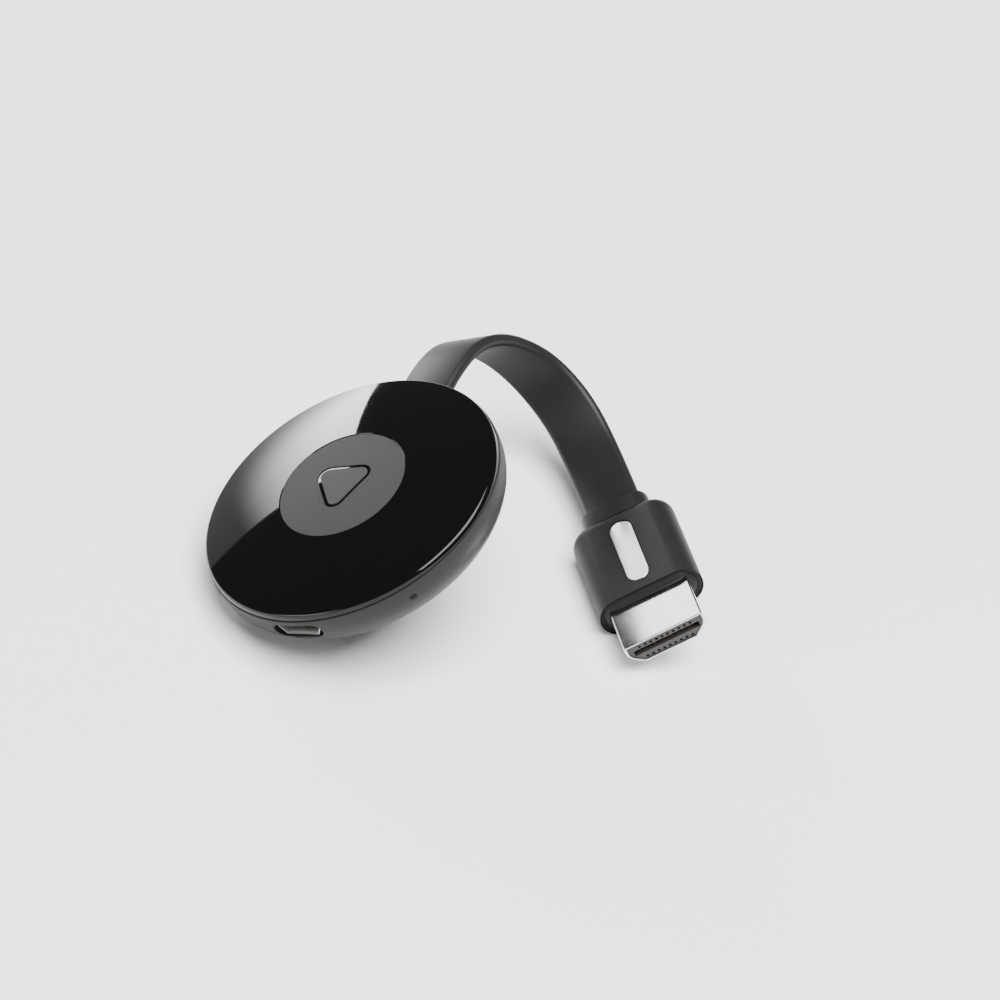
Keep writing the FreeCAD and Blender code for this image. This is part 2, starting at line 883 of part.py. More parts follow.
def build_button_and_switch():
    """The reset button with its inner flange, and the switch that it presses."""
    body = body_of("button_body")
    sketch = sketch_on(body, "button_profile", "XZ_Plane")
    length = size("body_radius") + size("button_proud") - size("button_inner")
    stem, flange, thick = size("button_radius"), size("flange_radius"), size("flange_thickness")
    below, above = [(0, 0), (flange, 0), (flange, thick)], [(stem, thick), (stem, length), (0, length)]
    outline(sketch, below + above)
    revolve(body, sketch, "button_turn")
    rounded = size("button_round")
    round_edges(body, edge_in_plane("Z", length.value), rounded, "button_edge_round")
    keep(body, "reset_button", button_place(size("button_inner").value))

    high, wide, deep = (size(f"switch_{word}") for word in ("height", "width", "depth"))
    block = centred_box("switch_block", high, wide, deep)
    plunger = primitive(
        "Cylinder", "switch_plunger", Radius=size("plunger_radius"), Height=size("plunger_length")
    )
    bind(plunger, **{"Placement.Base.z": deep})
    seat = button_place((size("switch_front") - deep).value)
    keep(fuse_all("reset_switch", [block, plunger]), "reset_switch", seat)


def build_status_light():
    """The status LED on the board and the clear pipe that takes its light through the rim."""
    angle = size("led_angle").value
    chip = centred_box("lamp_block", size("lamp_high"), size("lamp_wide"), size("lamp_deep"))
    place = PUCK * outwards(angle, size("lamp_ring").value, size("lamp_height").value)
    keep(group("status_led", [chip]), "status_led", place)
    length = size("body_radius") - size("pipe_inner") - size("pipe_short")
    pipe = primitive("Cylinder", "pipe_rod", Radius=size("pipe_radius"), Height=length)
    place = PUCK * outwards(angle, size("pipe_inner").value, size("led_height").value)
    keep(group("light_pipe", [pipe]), "light_pipe", place)


def build_grommet():
    """The soft block that the flat lead leaves the puck through."""
    body = body_of("grommet_body")
    sketch = sketch_on(body, "grommet_profile", "XY_Plane")
    stadium(sketch, size("grommet_width"), size("grommet_height"))
    pad(body, sketch, size("grommet_outer") - size("grommet_inner"), "grommet_pad")
    radius, height = size("grommet_inner").value, size("lead_height").value
    keep(body, "cable_grommet", PUCK * across_the_rim(size("lead_angle").value, radius, height))


# ------------------------------------------------------------------------------- flat lead


def lead_path():
    """Points and directions along the lead: straight runs joined by tangent arcs."""
    corners = [Vector(*point) for point in LEAD_ROUTE]
    stations = [(corners[0], (corners[1] - corners[0]).normalize())]
    length = 0.0
    last = corners[0]
    for before, corner, after in zip(corners, corners[1:], corners[2:]):
        inward, outward = (corner - before).normalize(), (after - corner).normalize()
        half_turn = inward.getAngle(outward) / 2
        trim = ARC_SHARE * min((corner - before).Length, (after - corner).Length)
        radius = trim / math.tan(half_turn)
        print(f"lead arc radius {radius:.1f} mm, turn {math.degrees(2 * half_turn):.0f} degrees")
        side = (outward - inward).normalize()
        centre = corner + side * (radius / math.cos(half_turn))
        axis = inward.cross(outward)
        start = corner - inward * trim
        length += (start - last).Length + radius * 2 * half_turn
        for step in range(ARC_STEPS + 1):
            turn = Rotation(axis, math.degrees(2 * half_turn) * step / ARC_STEPS)
            stations.append((centre + turn.multVec(start - centre), turn.multVec(inward)))
        last = stations[-1][0]
    length += (corners[-1] - last).Length
    stations.append((corners[-1], (corners[-1] - corners[-2]).normalize()))
    return stations, length


def lead_section(point, direction, across):
    """The lead's flat, round-edged section as a wire."""
    half = size("lead_width").value / 2 - size("lead_thickness").value / 2
    radius = size("lead_thickness").value / 2
    across = (across - direction * across.dot(direction)).normalize()
    up = direction.cross(across)

    def at(x, y):
        return point + across * x + up * y

    edges = [
        Part.LineSegment(at(-half, -radius), at(half, -radius)),
        Part.Arc(at(half, -radius), at(half + radius, 0), at(half, radius)),
        Part.LineSegment(at(half, radius), at(-half, radius)),
        Part.Arc(at(-half, radius), at(-half - radius, 0), at(-half, -radius)),
    ]
    return Part.Wire([edge.toShape() for edge in edges])


def build_ribbon_cable():
    """The flat lead, lofted along its route while its width turns from the puck to the plug."""
    stations, length = lead_path()
    turned = round_the_puck(size("lead_angle").value)
    first = PUCK.Rotation.multVec(turned.Rotation.multVec(Vector(0, -1, 0)))
    last = PLUG.Rotation.multVec(Vector(1, 0, 0))
    travelled = [0.0]
    for (a, _), (b, _) in zip(stations, stations[1:]):
        travelled.append(travelled[-1] + (b - a).Length)
    wires = []
    for (point, direction), distance in zip(stations, travelled):
        share = distance / travelled[-1]
        wires.append(lead_section(point, direction, first * (1 - share) + last * share))
    solid = Part.makeLoft(wires, True, True)
    ribbon = doc.addObject("Part::Feature", "ribbon_cable")
    ribbon.Shape = solid
    thickness, width = size("lead_thickness").value, size("lead_width").value
    section = (width - thickness) * thickness + math.pi * thickness**2 / 4
    print(f"lead length {length:.2f} mm, volume {solid.Volume:.1f} against {section * length:.1f} mm3")
    keep(ribbon, "ribbon_cable", Placement())


# ------------------------------------------------------------------------------------ plug


def build_plug_collar():
    """The stepped collar where the lead enters the plug."""
    body = body_of("collar_body")
    sketch = sketch_on(body, "collar_profile", "XZ_Plane")
    stadium(sketch, size("collar_width"), size("collar_height"))
    pad(body, sketch, size("collar_length"), "collar_pad")
    round_edges(body, edge_in_plane("Y", 0.0), size("collar_round"), "collar_rear_round")
    keep(body, "plug_collar", PLUG)


def plate_corners(sketch, grow):
    """The steel plate's pill shape, seen from above; the sketch's y points back to the lead."""
    grow = as_size(grow)
    radius = size("plate_width") / 2 + grow
    near = -(size("plate_start") + size("plate_width") / 2)
    far = near - size("plate_length") + size("plate_width")
    return outline(
        sketch,
        [(radius, far), (radius, near, 0, near), (-radius, near), (-radius, far, 0, far)],
    )


def build_plug_housing():
    """The moulded plug body: round shoulders, a lip round a recess, a pocket for the plate."""
    body = body_of("plug_body")
    front = size("collar_length") + size("plug_length")
    sketch = sketch_on(body, "plug_profile", "XZ_Plane", size("collar_length"))
    stadium(sketch, size("plug_width"), size("plug_height"))
    pad(body, sketch, size("plug_length"), "plug_pad")
    rear = edge_in_plane("Y", -size("collar_length").value)
    round_edges(body, rear, size("shoulder_round"), "plug_shoulders")
    round_edges(body, edge_in_plane("Y", -front.value), size("lip_round"), "plug_lip")
    recess = sketch_on(body, "plug_recess", "XZ_Plane", front)
    stadium(recess, size("recess_width"), size("recess_height"))
    pocket(body, recess, size("recess_depth"), "plug_recess_cut")
    core = sketch_on(body, "plug_core", "XZ_Plane", front)
    rectangle(core, size("core_width"), size("core_height"))
    pocket(body, core, size("core_length"), "plug_core_cut")
    top = sketch_on(body, "plate_pocket", "XY_Plane", size("plug_height") / 2)
    plate_corners(top, size("plate_play"))
    pocket(body, top, size("plate_sink") + size("plate_thickness"), "plate_pocket_cut")
    keep(body, "plug_housing", PLUG)


def build_plug_plate():
    """The steel keeper plate that the puck's magnet holds on to."""
    body = body_of("plate_body")
    base = size("plug_height") / 2 - size("plate_sink") - size("plate_thickness")
    sketch = sketch_on(body, "plate_profile", "XY_Plane", base)
    plate_corners(sketch, 0.0)
    pad(body, sketch, size("plate_thickness"), "plate_pad")
    top = (base + size("plate_thickness")).value
    round_edges(body, edge_in_plane("Z", top), size("plate_round"), "plate_edge_round")
    keep(body, "plug_plate", PLUG)


def shell_outline(sketch, inset):
    """The plug's mouth outline: wide above, corners sloping in below."""
    inset = as_size(inset)
    half, top = size("shell_half") - inset, size("shell_top") - inset
    shoulder, knee = half - size("shell_shoulder"), size("shell_knee") - inset * 0.3
    foot = size("shell_half") - size("shell_foot") - inset / 2
    low = knee - size("shell_slope")
    left = [(-half, top), (-half, knee), (-shoulder, low), (-foot, -top)]
    right = [(foot, -top), (shoulder, low), (half, knee), (half, top)]
    return outline(sketch, left + right)


def build_plug_shell():
    """The folded metal shell of the plug."""
    body = body_of("plug_shell_body")
    front = size("collar_length") + size("plug_length") + size("shell_reach")
    outer = sketch_on(body, "shell_outer", "XZ_Plane", front - size("shell_length"))
    shell_outline(outer, 0.0)
    pad(body, outer, size("shell_length"), "shell_pad")
    inner = sketch_on(body, "shell_inner", "XZ_Plane", front)
    shell_outline(inner, size("shell_wall"))
    pocket(body, inner, size("shell_length"), "shell_mouth")
    keep(body, "plug_shell", PLUG)


def mouth_front():
    """How far the insulator's face is in front of the plug's origin."""
    reach = size("collar_length") + size("plug_length") + size("shell_reach")
    return reach - size("insulator_sink")


def row_of_holes(body, name, count, height):
    """A row of square blind holes across the insulator's face."""
    sketch = sketch_on(body, f"{name}_profile", "XZ_Plane", mouth_front())
    first = -(size("contact_pitch") * ((count - 1) / 2))
    rectangle(sketch, size("hole_size"), size("hole_size"), first, height)
    hole = pocket(body, sketch, size("hole_depth"), f"{name}_hole")
    pattern = body.newObject("PartDesign::LinearPattern", f"{name}_pattern")
    pattern.Originals = [hole]
    pattern.Direction = (sketch, ["H_Axis"])
    pattern.Occurrences = count
    pattern.setExpression("Length", (size("contact_pitch") * (count - 1)).text)
    body.Tip = pattern
    doc.recompute()


def build_plug_insulator():
    """The plastic carrier that fills the shell: a slot across it and two rows of square holes."""
    body = body_of("insulator_body")
    front = mouth_front()
    back = sketch_on(body, "insulator_profile", "XZ_Plane", front - size("insulator_length"))
    shell_outline(back, size("shell_wall") + size("insulator_play"))
    pad(body, back, size("insulator_length"), "insulator_pad")
    slot = sketch_on(body, "insulator_slot", "XZ_Plane", front)
    rectangle(slot, size("slot_width"), size("slot_height"))
    pocket(body, slot, size("slot_depth"), "insulator_slot_cut")
    for row in ("upper", "lower"):
        row_of_holes(body, row, int(size(f"{row}_count").value), size(f"{row}_row"))
    keep(body, "plug_insulator", PLUG)


def build_plug_contacts():
    """The gold blades against the slot's upper and lower walls."""
    blades = []
    back = mouth_front().value - size("slot_depth").value
    width, length, thick = (size(f"contact_{word}") for word in ("width", "length", "thickness"))
    middle = -(back + length.value / 2)
    lift = (size("slot_height") / 2 - thick / 2 - size("contact_gap")).value
    for row, height in (("upper", lift), ("lower", -lift)):
        count = int(size(f"{row}_count").value)
        for number in range(count):
            name = f"blade_{len(blades) + 1}"
            seat = group(name, [centred_box(f"{name}_block", width, length, thick)])
            shift = (number - (count - 1) / 2) * size("contact_pitch").value
            seat.Placement = Placement(Vector(shift, middle, height - thick.value / 2), Rotation())
            blades.append(seat)
    keep(group("plug_contacts", blades), "plug_contacts", PLUG)


def build_plug_inside():
    """The small board behind the shell and the metal can folded round it."""
    shell_back = size("collar_length") + size("plug_length") + size("shell_reach") - size("shell_length")
    length, wall = size("inside_length"), size("inside_wall")
    place = PLUG * Placement(Vector(0, -(shell_back - length / 2).value, 0), Rotation())
    wide, long, thick = (size(f"plug_board_{word}") for word in ("width", "length", "thickness"))
    board = centred_box("plug_board_block", wide, long, thick, -(thick / 2))
    keep(group("plug_board", [board]), "plug_board", place)
    wide, tall, through = size("inside_width"), size("inside_height"), length + size("cutter_over")
    can = boolean(
        "Cut",
        "plug_can",
        centred_box("plug_can_outer", wide, length, tall, -(tall / 2)),
        centred_box("plug_can_inner", wide - wall * 2, through, tall - wall * 2, wall - tall / 2),
    )
    keep(can, "plug_can", place)


def write_parts():
    """Check every feature, then write each finished sub-part to its own STEP file."""
    doc.recompute()
    for feature in doc.Objects:
        if "Invalid" in feature.State or "Error" in feature.State:
            raise RuntimeError(f"{feature.Name} failed: {feature.State}")
    for feature in finished:
        if feature.Shape.isNull() or not feature.Shape.isValid():
            raise RuntimeError(f"{feature.Label} has no valid shape")
    os.makedirs("parts", exist_ok=True)
    for feature in finished:
        feature.Shape.exportStep(f"parts/{feature.Label}.step")
    print(f"{len(finished)} sub-parts written")


build_lower_housing()
build_top_cover()
build_emblem()
build_main_board()
build_board_screws()
build_board_boxes()
build_antenna_short()
build_shield()
build_heat_spreader()
build_power_socket()
build_button_and_switch()
build_status_light()
build_grommet()
build_ribbon_cable()
build_plug_collar()
build_plug_housing()
build_plug_plate()
build_plug_shell()
build_plug_insulator()
build_plug_contacts()
build_plug_inside()
write_parts()
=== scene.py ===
"""Looks of a puck-style streaming media player: puck, flat captive lead and video plug.

Sizes are in millimetres in the puck's or the plug's own frame, and are seated in the row frame,
in metres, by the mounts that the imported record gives. Only the lead's route is given in metres,
in the row frame itself.
"""

import json
import logging
import math
from collections.abc import Callable, Iterable, Sequence
from dataclasses import dataclass, field
from enum import Enum

import bmesh
import bpy
from mathutils import Matrix, Vector


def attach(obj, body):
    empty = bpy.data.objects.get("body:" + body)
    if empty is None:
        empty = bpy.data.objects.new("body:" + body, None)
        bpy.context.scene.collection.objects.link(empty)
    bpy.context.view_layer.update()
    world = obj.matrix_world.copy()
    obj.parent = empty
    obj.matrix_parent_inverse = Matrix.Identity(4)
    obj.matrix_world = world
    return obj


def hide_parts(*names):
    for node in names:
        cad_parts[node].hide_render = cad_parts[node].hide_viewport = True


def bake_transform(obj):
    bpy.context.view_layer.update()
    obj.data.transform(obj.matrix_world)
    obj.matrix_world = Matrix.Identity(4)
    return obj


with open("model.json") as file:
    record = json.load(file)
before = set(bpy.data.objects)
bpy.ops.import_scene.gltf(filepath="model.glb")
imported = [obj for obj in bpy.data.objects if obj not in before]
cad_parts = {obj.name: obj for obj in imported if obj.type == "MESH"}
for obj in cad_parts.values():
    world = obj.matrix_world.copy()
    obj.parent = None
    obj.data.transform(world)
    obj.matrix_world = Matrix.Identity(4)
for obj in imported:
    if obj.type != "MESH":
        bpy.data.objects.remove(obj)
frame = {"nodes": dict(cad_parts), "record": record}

LOG = logging.getLogger("streaming_player")
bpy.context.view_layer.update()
MM = 0.001
QUARTER = math.pi / 2
SMOOTH_ANGLE = math.radians(32.0)
MERGE_MM = 1e-4
ROW_FLOOR_M = -0.0002


# ------------------------------------------------------------------------------ node graphs


class Value:
    """A number socket of a node graph that is used like a number."""

    def __init__(self, graph: "Graph", socket: bpy.types.NodeSocket) -> None:
        """Wrap a socket.

        Args:
            graph: The graph that new Math nodes are made in.
            socket: The output socket that holds the number.
        """
        self.graph = graph
        self.socket = socket

    def _math(self, operation: str, *values: "Value | float") -> "Value":
        """A Math node over some values, as a new value."""
        node = self.graph.node("ShaderNodeMath", {"operation": operation}, dict(enumerate(values)))
        return Value(self.graph, node.outputs[0])

    def __add__(self, other: "Value | float") -> "Value":
        """Sum."""
        return self._math("ADD", self, other)

    __radd__ = __add__

    def __sub__(self, other: "Value | float") -> "Value":
        """Difference."""
        return self._math("SUBTRACT", self, other)

    def __rsub__(self, other: float) -> "Value":
        """Difference from a number."""
        return self._math("SUBTRACT", other, self)

    def __mul__(self, other: "Value | float") -> "Value":
        """Product."""
        return self._math("MULTIPLY", self, other)

    __rmul__ = __mul__

    def __pow__(self, other: "Value | float") -> "Value":
        """Power."""
        return self._math("POWER", self, other)

    def step(self, low: float, high: float) -> "Value":
        """A smooth step from 0 at low to 1 at high."""
        settings = {"interpolation_type": "SMOOTHSTEP"}
        links = {"Value": self, "From Min": low, "From Max": high}
        return Value(self.graph, self.graph.node("ShaderNodeMapRange", settings, links).outputs[0])


class Graph:
    """The node graph of one material or one lamp."""

    def __init__(self, owner: bpy.types.Material | bpy.types.Light, kind: str = "BsdfPrincipled") -> None:
        """Start a graph with an output and a shader.

        Args:
            owner: What the graph belongs to.
            kind: The shader's type name.
        """
        owner.use_nodes = True
        self.tree = owner.node_tree
        self.tree.nodes.clear()
        self.shader = self.node(f"ShaderNode{kind}")
        output = "Light" if isinstance(owner, bpy.types.Light) else "Material"
        self.node(f"ShaderNodeOutput{output}", None, {"Surface": self.shader.outputs[0]})
        self.place = self.node("ShaderNodeTexCoord").outputs["Object"]

    def node(self, kind: str, settings: dict | None = None, links: dict | None = None) -> bpy.types.Node:
        """Make any node.

        Args:
            kind: The node's type name.
            settings: Attributes set first; "stops" is a colour ramp's list of (position, colour).
            links: Socket name or number to a number, a colour, a socket or a Value.

        Returns:
            The node.
        """
        made = self.tree.nodes.new(kind)
        for name, value in (settings or {}).items():
            if name == "stops":
                self._fill_ramp(made.color_ramp, value)
            else:
                setattr(made, name, value)
        for name, value in (links or {}).items():
            self._feed(made.inputs[name], value)
        return made

    def _feed(self, target: bpy.types.NodeSocket, value: object) -> None:
        """Link a socket or set its value."""
        if isinstance(value, Value):
            value = value.socket
        if isinstance(value, bpy.types.NodeSocket):
            self.tree.links.new(value, target)
        else:
            target.default_value = value

    @staticmethod
    def _fill_ramp(ramp: bpy.types.ColorRamp, stops: Sequence[tuple]) -> None:
        """Set the stops of a colour ramp."""
        while len(ramp.elements) < len(stops):
            ramp.elements.new(1.0)
        for element, (position, colour) in zip(ramp.elements, stops):
            element.position = position
            element.color = colour

    def noise(self, per_mm: float, detail: float = 2.0, stretch: Sequence[float] = (1, 1, 1)) -> Value:
        """Noise over the piece.

        Args:
            per_mm: How many lumps there are in a millimetre.
            detail: Octaves.
            stretch: Scale along each axis of the row frame.

        Returns:
            A value from 0 to 1.
        """
        place = self.node("ShaderNodeMapping", None, {"Vector": self.place, "Scale": tuple(stretch)})
        links = {"Vector": place.outputs[0], "Scale": per_mm / MM, "Detail": detail}
        return Value(self, self.node("ShaderNodeTexNoise", None, links).outputs["Fac"])

    def grains(self, per_mm: float) -> Value:
        """Distance to the nearest of scattered points, about 0 to 1.

        Args:
            per_mm: How many points there are along a millimetre.

        Returns:
            The distance as a value.
        """
        links = {"Vector": self.place, "Scale": per_mm / MM}
        return Value(self, self.node("ShaderNodeTexVoronoi", None, links).outputs["Distance"])

    def blend_colours(
        self, share: Value, low: Sequence[float], high: Sequence[float]
    ) -> bpy.types.NodeSocket:
        """A colour between two.

        Args:
            share: 0 gives low and 1 gives high.
            low: Red, green and blue.
            high: Red, green and blue.

        Returns:
            The mixed colour's socket.
        """
        settings = {"data_type": "RGBA"}
        links = {"Factor": share, 6: (*low, 1.0), 7: (*high, 1.0)}
        return self.node("ShaderNodeMix", settings, links).outputs[2]

    def bump(self, height: Value, depth_mm: float) -> None:
        """Raise the surface by a height.

        Args:
            height: 0 to 1.
            depth_mm: The height at 1, in millimetres.
        """
        links = {"Height": height, "Distance": depth_mm * MM, "Strength": 1.0}
        self.dress({"Normal": self.node("ShaderNodeBump", None, links).outputs[0]})

    def dress(self, links: dict) -> "Graph":
        """Set sockets of the shader.

        Args:
            links: Socket name to a number, a colour, a socket or a Value.

        Returns:
            This graph.
        """
        for name, value in links.items():
            self._feed(self.shader.inputs[name], value)
        return self


# --------------------------------------------------------------------------------- finishes


def tinted(colour: Sequence[float], factor: float) -> tuple[float, ...]:
    """A colour made lighter or darker."""
    return tuple(min(1.0, part * factor) for part in colour)


@dataclass(frozen=True)
class Moulded:
    """Moulded plastic or rubber: fine grain, slow changes of tone, uneven sheen."""

    name: str
    colour: tuple[float, float, float]
    roughness: float
    grain_per_mm: float = 6.0
    grain_depth: float = 0.012
    tone_change: float = 0.12
    sheen: float = 0.0
    coat: float = 0.0
    specular: float = 0.5

    def build(self) -> bpy.types.Material:
        """The finish as a material."""
        material = bpy.data.materials.new(self.name)
        graph = Graph(material)
        tone = graph.noise(0.12, 3.0)
        grain = graph.noise(self.grain_per_mm, 3.0)
        colour = graph.blend_colours(
            tone * 0.7 + grain * 0.3,
            tinted(self.colour, 1 - self.tone_change),
            tinted(self.colour, 1 + self.tone_change),
        )
        graph.dress({"Base Color": colour, "Roughness": self.roughness + (tone - 0.5) * 0.12})
        graph.dress({"Coat Weight": self.coat, "Sheen Weight": self.sheen})
        graph.dress({"Specular IOR Level": self.specular})
        graph.bump(grain, self.grain_depth)
        return material


@dataclass(frozen=True)
class Speckled:
    """Matte inlay film: a dense, fine pebble with faint bright specks."""

    name: str
    colour: tuple[float, float, float]
    roughness: float
    pebble_per_mm: float = 3.2
    depth: float = 0.03
    specular: float = 0.3

    def build(self) -> bpy.types.Material:
        """The finish as a material."""
        material = bpy.data.materials.new(self.name)
        graph = Graph(material)
        pebble = graph.grains(self.pebble_per_mm)
        fine = graph.noise(9.0, 2.0)
        specks = fine.step(0.55, 0.75)
        colour = graph.blend_colours(
            pebble * 0.6 + specks * 0.4, tinted(self.colour, 0.78), tinted(self.colour, 1.45)
        )
        graph.dress({"Base Color": colour, "Roughness": self.roughness + pebble * 0.12})
        graph.dress({"Specular IOR Level": self.specular})
        graph.bump(pebble + fine * 0.4, self.depth)
        return material


@dataclass(frozen=True)
class PianoGloss:
    """High-gloss moulded black with faint waviness, handling haze and a little dust."""

    name: str
    colour: tuple[float, float, float] = (0.0022, 0.0022, 0.0024)
    roughness: float = 0.03

    def build(self) -> bpy.types.Material:
        """The finish as a material."""
        material = bpy.data.materials.new(self.name)
        graph = Graph(material)
        haze = graph.noise(0.09, 4.0).step(0.42, 0.72)
        dust = graph.noise(5.0, 2.0).step(0.74, 0.82)
        colour = graph.blend_colours(dust, self.colour, tinted(self.colour, 3.0))
        graph.dress({"Base Color": colour, "Roughness": self.roughness + haze * 0.025 + dust * 0.2})
        graph.dress({"Specular IOR Level": 0.28})
        graph.bump(graph.noise(0.35, 1.0), 0.0022)
        return material


@dataclass(frozen=True)
class Brushed:
    """Brushed or rolled metal: fine lines along one axis of the row frame."""

    name: str
    colour: tuple[float, float, float]
    roughness: float
    along: tuple[float, float, float] = (1.0, 0.035, 1.0)
    lines_per_mm: float = 9.0
    depth: float = 0.004

    def build(self) -> bpy.types.Material:
        """The finish as a material."""
        material = bpy.data.materials.new(self.name)
        graph = Graph(material)
        lines = graph.noise(self.lines_per_mm, 3.0, self.along)
        cloud = graph.noise(0.25, 2.0)
        colour = graph.blend_colours(
            lines * 0.6 + cloud * 0.4, tinted(self.colour, 0.86), tinted(self.colour, 1.08)
        )
        rough = self.roughness + (lines - 0.5) * 0.08 + (cloud - 0.5) * 0.05
        graph.dress({"Base Color": colour, "Roughness": rough, "Metallic": 1.0})
        graph.bump(lines, self.depth)
        return material


@dataclass(frozen=True)
class Plated:
    """Bright plating over stamped sheet: soft waves, faint die lines and handling marks."""

    name: str
    colour: tuple[float, float, float]
    roughness: float
    wave_depth: float = 0.003

    def build(self) -> bpy.types.Material:
        """The finish as a material."""
        material = bpy.data.materials.new(self.name)
        graph = Graph(material)
        cloud = graph.noise(0.5, 3.0)
        lines = graph.noise(7.0, 2.0, (1.0, 0.05, 1.0))
        scuffs = graph.noise(2.4, 4.0).step(0.62, 0.74)
        colour = graph.blend_colours(cloud, tinted(self.colour, 0.93), tinted(self.colour, 1.04))
        rough = self.roughness + (cloud - 0.5) * 0.06 + scuffs * 0.06 + lines * 0.05
        graph.dress({"Base Color": colour, "Roughness": rough, "Metallic": 1.0})
        graph.bump(cloud * 0.7 + lines * 0.3, self.wave_depth)
        return material


@dataclass(frozen=True)
class BoardMask:
    """Solder mask over copper: tracks and pads show as paler, raised bands."""

    name: str
    colour: tuple[float, float, float] = (0.012, 0.085, 0.045)

    def build(self) -> bpy.types.Material:
        """The finish as a material."""
        material = bpy.data.materials.new(self.name)
        graph = Graph(material)
        settings = {"wave_type": "BANDS", "bands_direction": "Y", "wave_profile": "SAW"}
        links = {"Vector": graph.place, "Scale": 0.35 / MM, "Distortion": 3.5, "Detail": 1.0}
        bands = Value(graph, graph.node("ShaderNodeTexWave", settings, links).outputs["Fac"])
        tracks = bands.step(0.55, 0.62) * graph.noise(0.4, 1.0).step(0.42, 0.5)
        colour = graph.blend_colours(tracks, self.colour, tinted(self.colour, 1.9))
        graph.dress({"Base Color": colour, "Roughness": 0.3 + graph.noise(3.0) * 0.1})
        graph.bump(tracks, 0.03)
        return material


@dataclass(frozen=True)
class Lens:
    """Clear light pipe with a softly frosted end."""

    name: str
    colour: tuple[float, float, float] = (0.006, 0.006, 0.006)

    def build(self) -> bpy.types.Material:
        """The finish as a material."""
        material = bpy.data.materials.new(self.name)
        graph = Graph(material)
        frost = graph.noise(6.0, 3.0)
        colour = graph.blend_colours(frost, tinted(self.colour, 0.85), self.colour)
        graph.dress({"Base Color": colour, "Roughness": 0.2 + frost * 0.2})
        graph.dress({"Transmission Weight": 0.1, "IOR": 1.49, "Specular IOR Level": 0.1})
        graph.bump(frost, 0.01)
        return material


class Finish(Enum):
    """Every finish of the player; each is built once."""

    GLOSS_BLACK = PianoGloss("gloss_black_cover")
    HOUSING_GREY = Moulded(
        "satin_grey_housing", (0.022, 0.022, 0.0227), 0.42, 7.0, 0.006, 0.05, specular=0.14
    )
    INLAY = Speckled("matte_inlay", (0.02, 0.02, 0.0205), 0.6)
    INLAY_LIGHT = Speckled("pale_inlay", (0.025, 0.025, 0.0255), 0.58)
    LEAD = Moulded("lead_jacket", (0.011, 0.011, 0.0112), 0.44, 5.0, 0.008, 0.08, specular=0.22)
    OVERMOULD = Moulded("plug_overmould", (0.01, 0.01, 0.0102), 0.48, 7.0, 0.008, 0.06, specular=0.2)
    BUTTON = Moulded("button_cap_plastic", (0.03, 0.03, 0.031), 0.4)
    SATIN_STEEL = Brushed("satin_steel_plate", (0.7, 0.7, 0.69), 0.22, depth=0.0006)
    NICKEL = Plated("bright_nickel", (0.8, 0.795, 0.78), 0.16)
    PORT_STEEL = Plated("port_steel", (0.4, 0.4, 0.39), 0.3)
    GOLD = Plated("gold_flash", (0.83, 0.6, 0.27), 0.22)
    CARRIER = Moulded("contact_carrier_plastic", (0.03, 0.028, 0.027), 0.5, 8.0)
    TINNED = Brushed("tinned_sheet", (0.62, 0.62, 0.6), 0.38)
    ALUMINIUM = Brushed("rolled_aluminium", (0.78, 0.78, 0.79), 0.36)
    MAGNET = Plated("magnet_plating", (0.62, 0.61, 0.58), 0.28)
    SCREW = Plated("zinc_screw", (0.42, 0.42, 0.43), 0.32)
    CHIP = Moulded("chip_resin", (0.016, 0.016, 0.017), 0.55, 10.0, 0.01)
    THERMAL = Moulded("thermal_pad_gel", (0.3, 0.36, 0.44), 0.7, 3.0, 0.03)
    BOARD = BoardMask("solder_mask")
    IVORY = Moulded("ivory_connector", (0.6, 0.57, 0.48), 0.45)
    AMBER = Moulded("amber_tail_film", (0.42, 0.19, 0.035), 0.3, 2.0, 0.004, 0.1, 0.0, 0.4)
    LENS = Lens("light_pipe_lens")

    def material(self) -> bpy.types.Material:
        """The finish's material, built at its first use."""
        return bpy.data.materials.get(self.value.name) or self.value.build()


# ---------------------------------------------------------------------------- seats and mesh


def mount(name: str) -> dict:
    """The record's mount of that name."""
    return next(item for item in frame["record"]["mounts"] if item["name"] == name)


def level_seat(origin: Vector, normal: Vector) -> Matrix:
    """A frame in the row frame whose +Z is normal and whose +Y is the row's."""
    up = normal.normalized()
    ahead = Vector((0.0, 1.0, 0.0))
    turn = Matrix((ahead.cross(up), ahead, up)).transposed().to_4x4()
    return Matrix.Translation(origin) @ turn


def out_of_rim(degrees: float, radius: float, height: float) -> Matrix:
    """A place on the puck's rim: +Z out of it and x level along it, in the puck's frame.

    Args:
        degrees: Angle round the puck.
        radius: Distance from its axis.
        height: Distance above its back.

    Returns:
        The place as a matrix in millimetres.
    """
    turn = Matrix.Rotation(math.radians(degrees), 4, "Z")
    tip = Matrix.Rotation(QUARTER, 4, "Y") @ Matrix.Rotation(QUARTER, 4, "Z")
    return turn @ Matrix.Translation((radius, 0.0, height)) @ tip


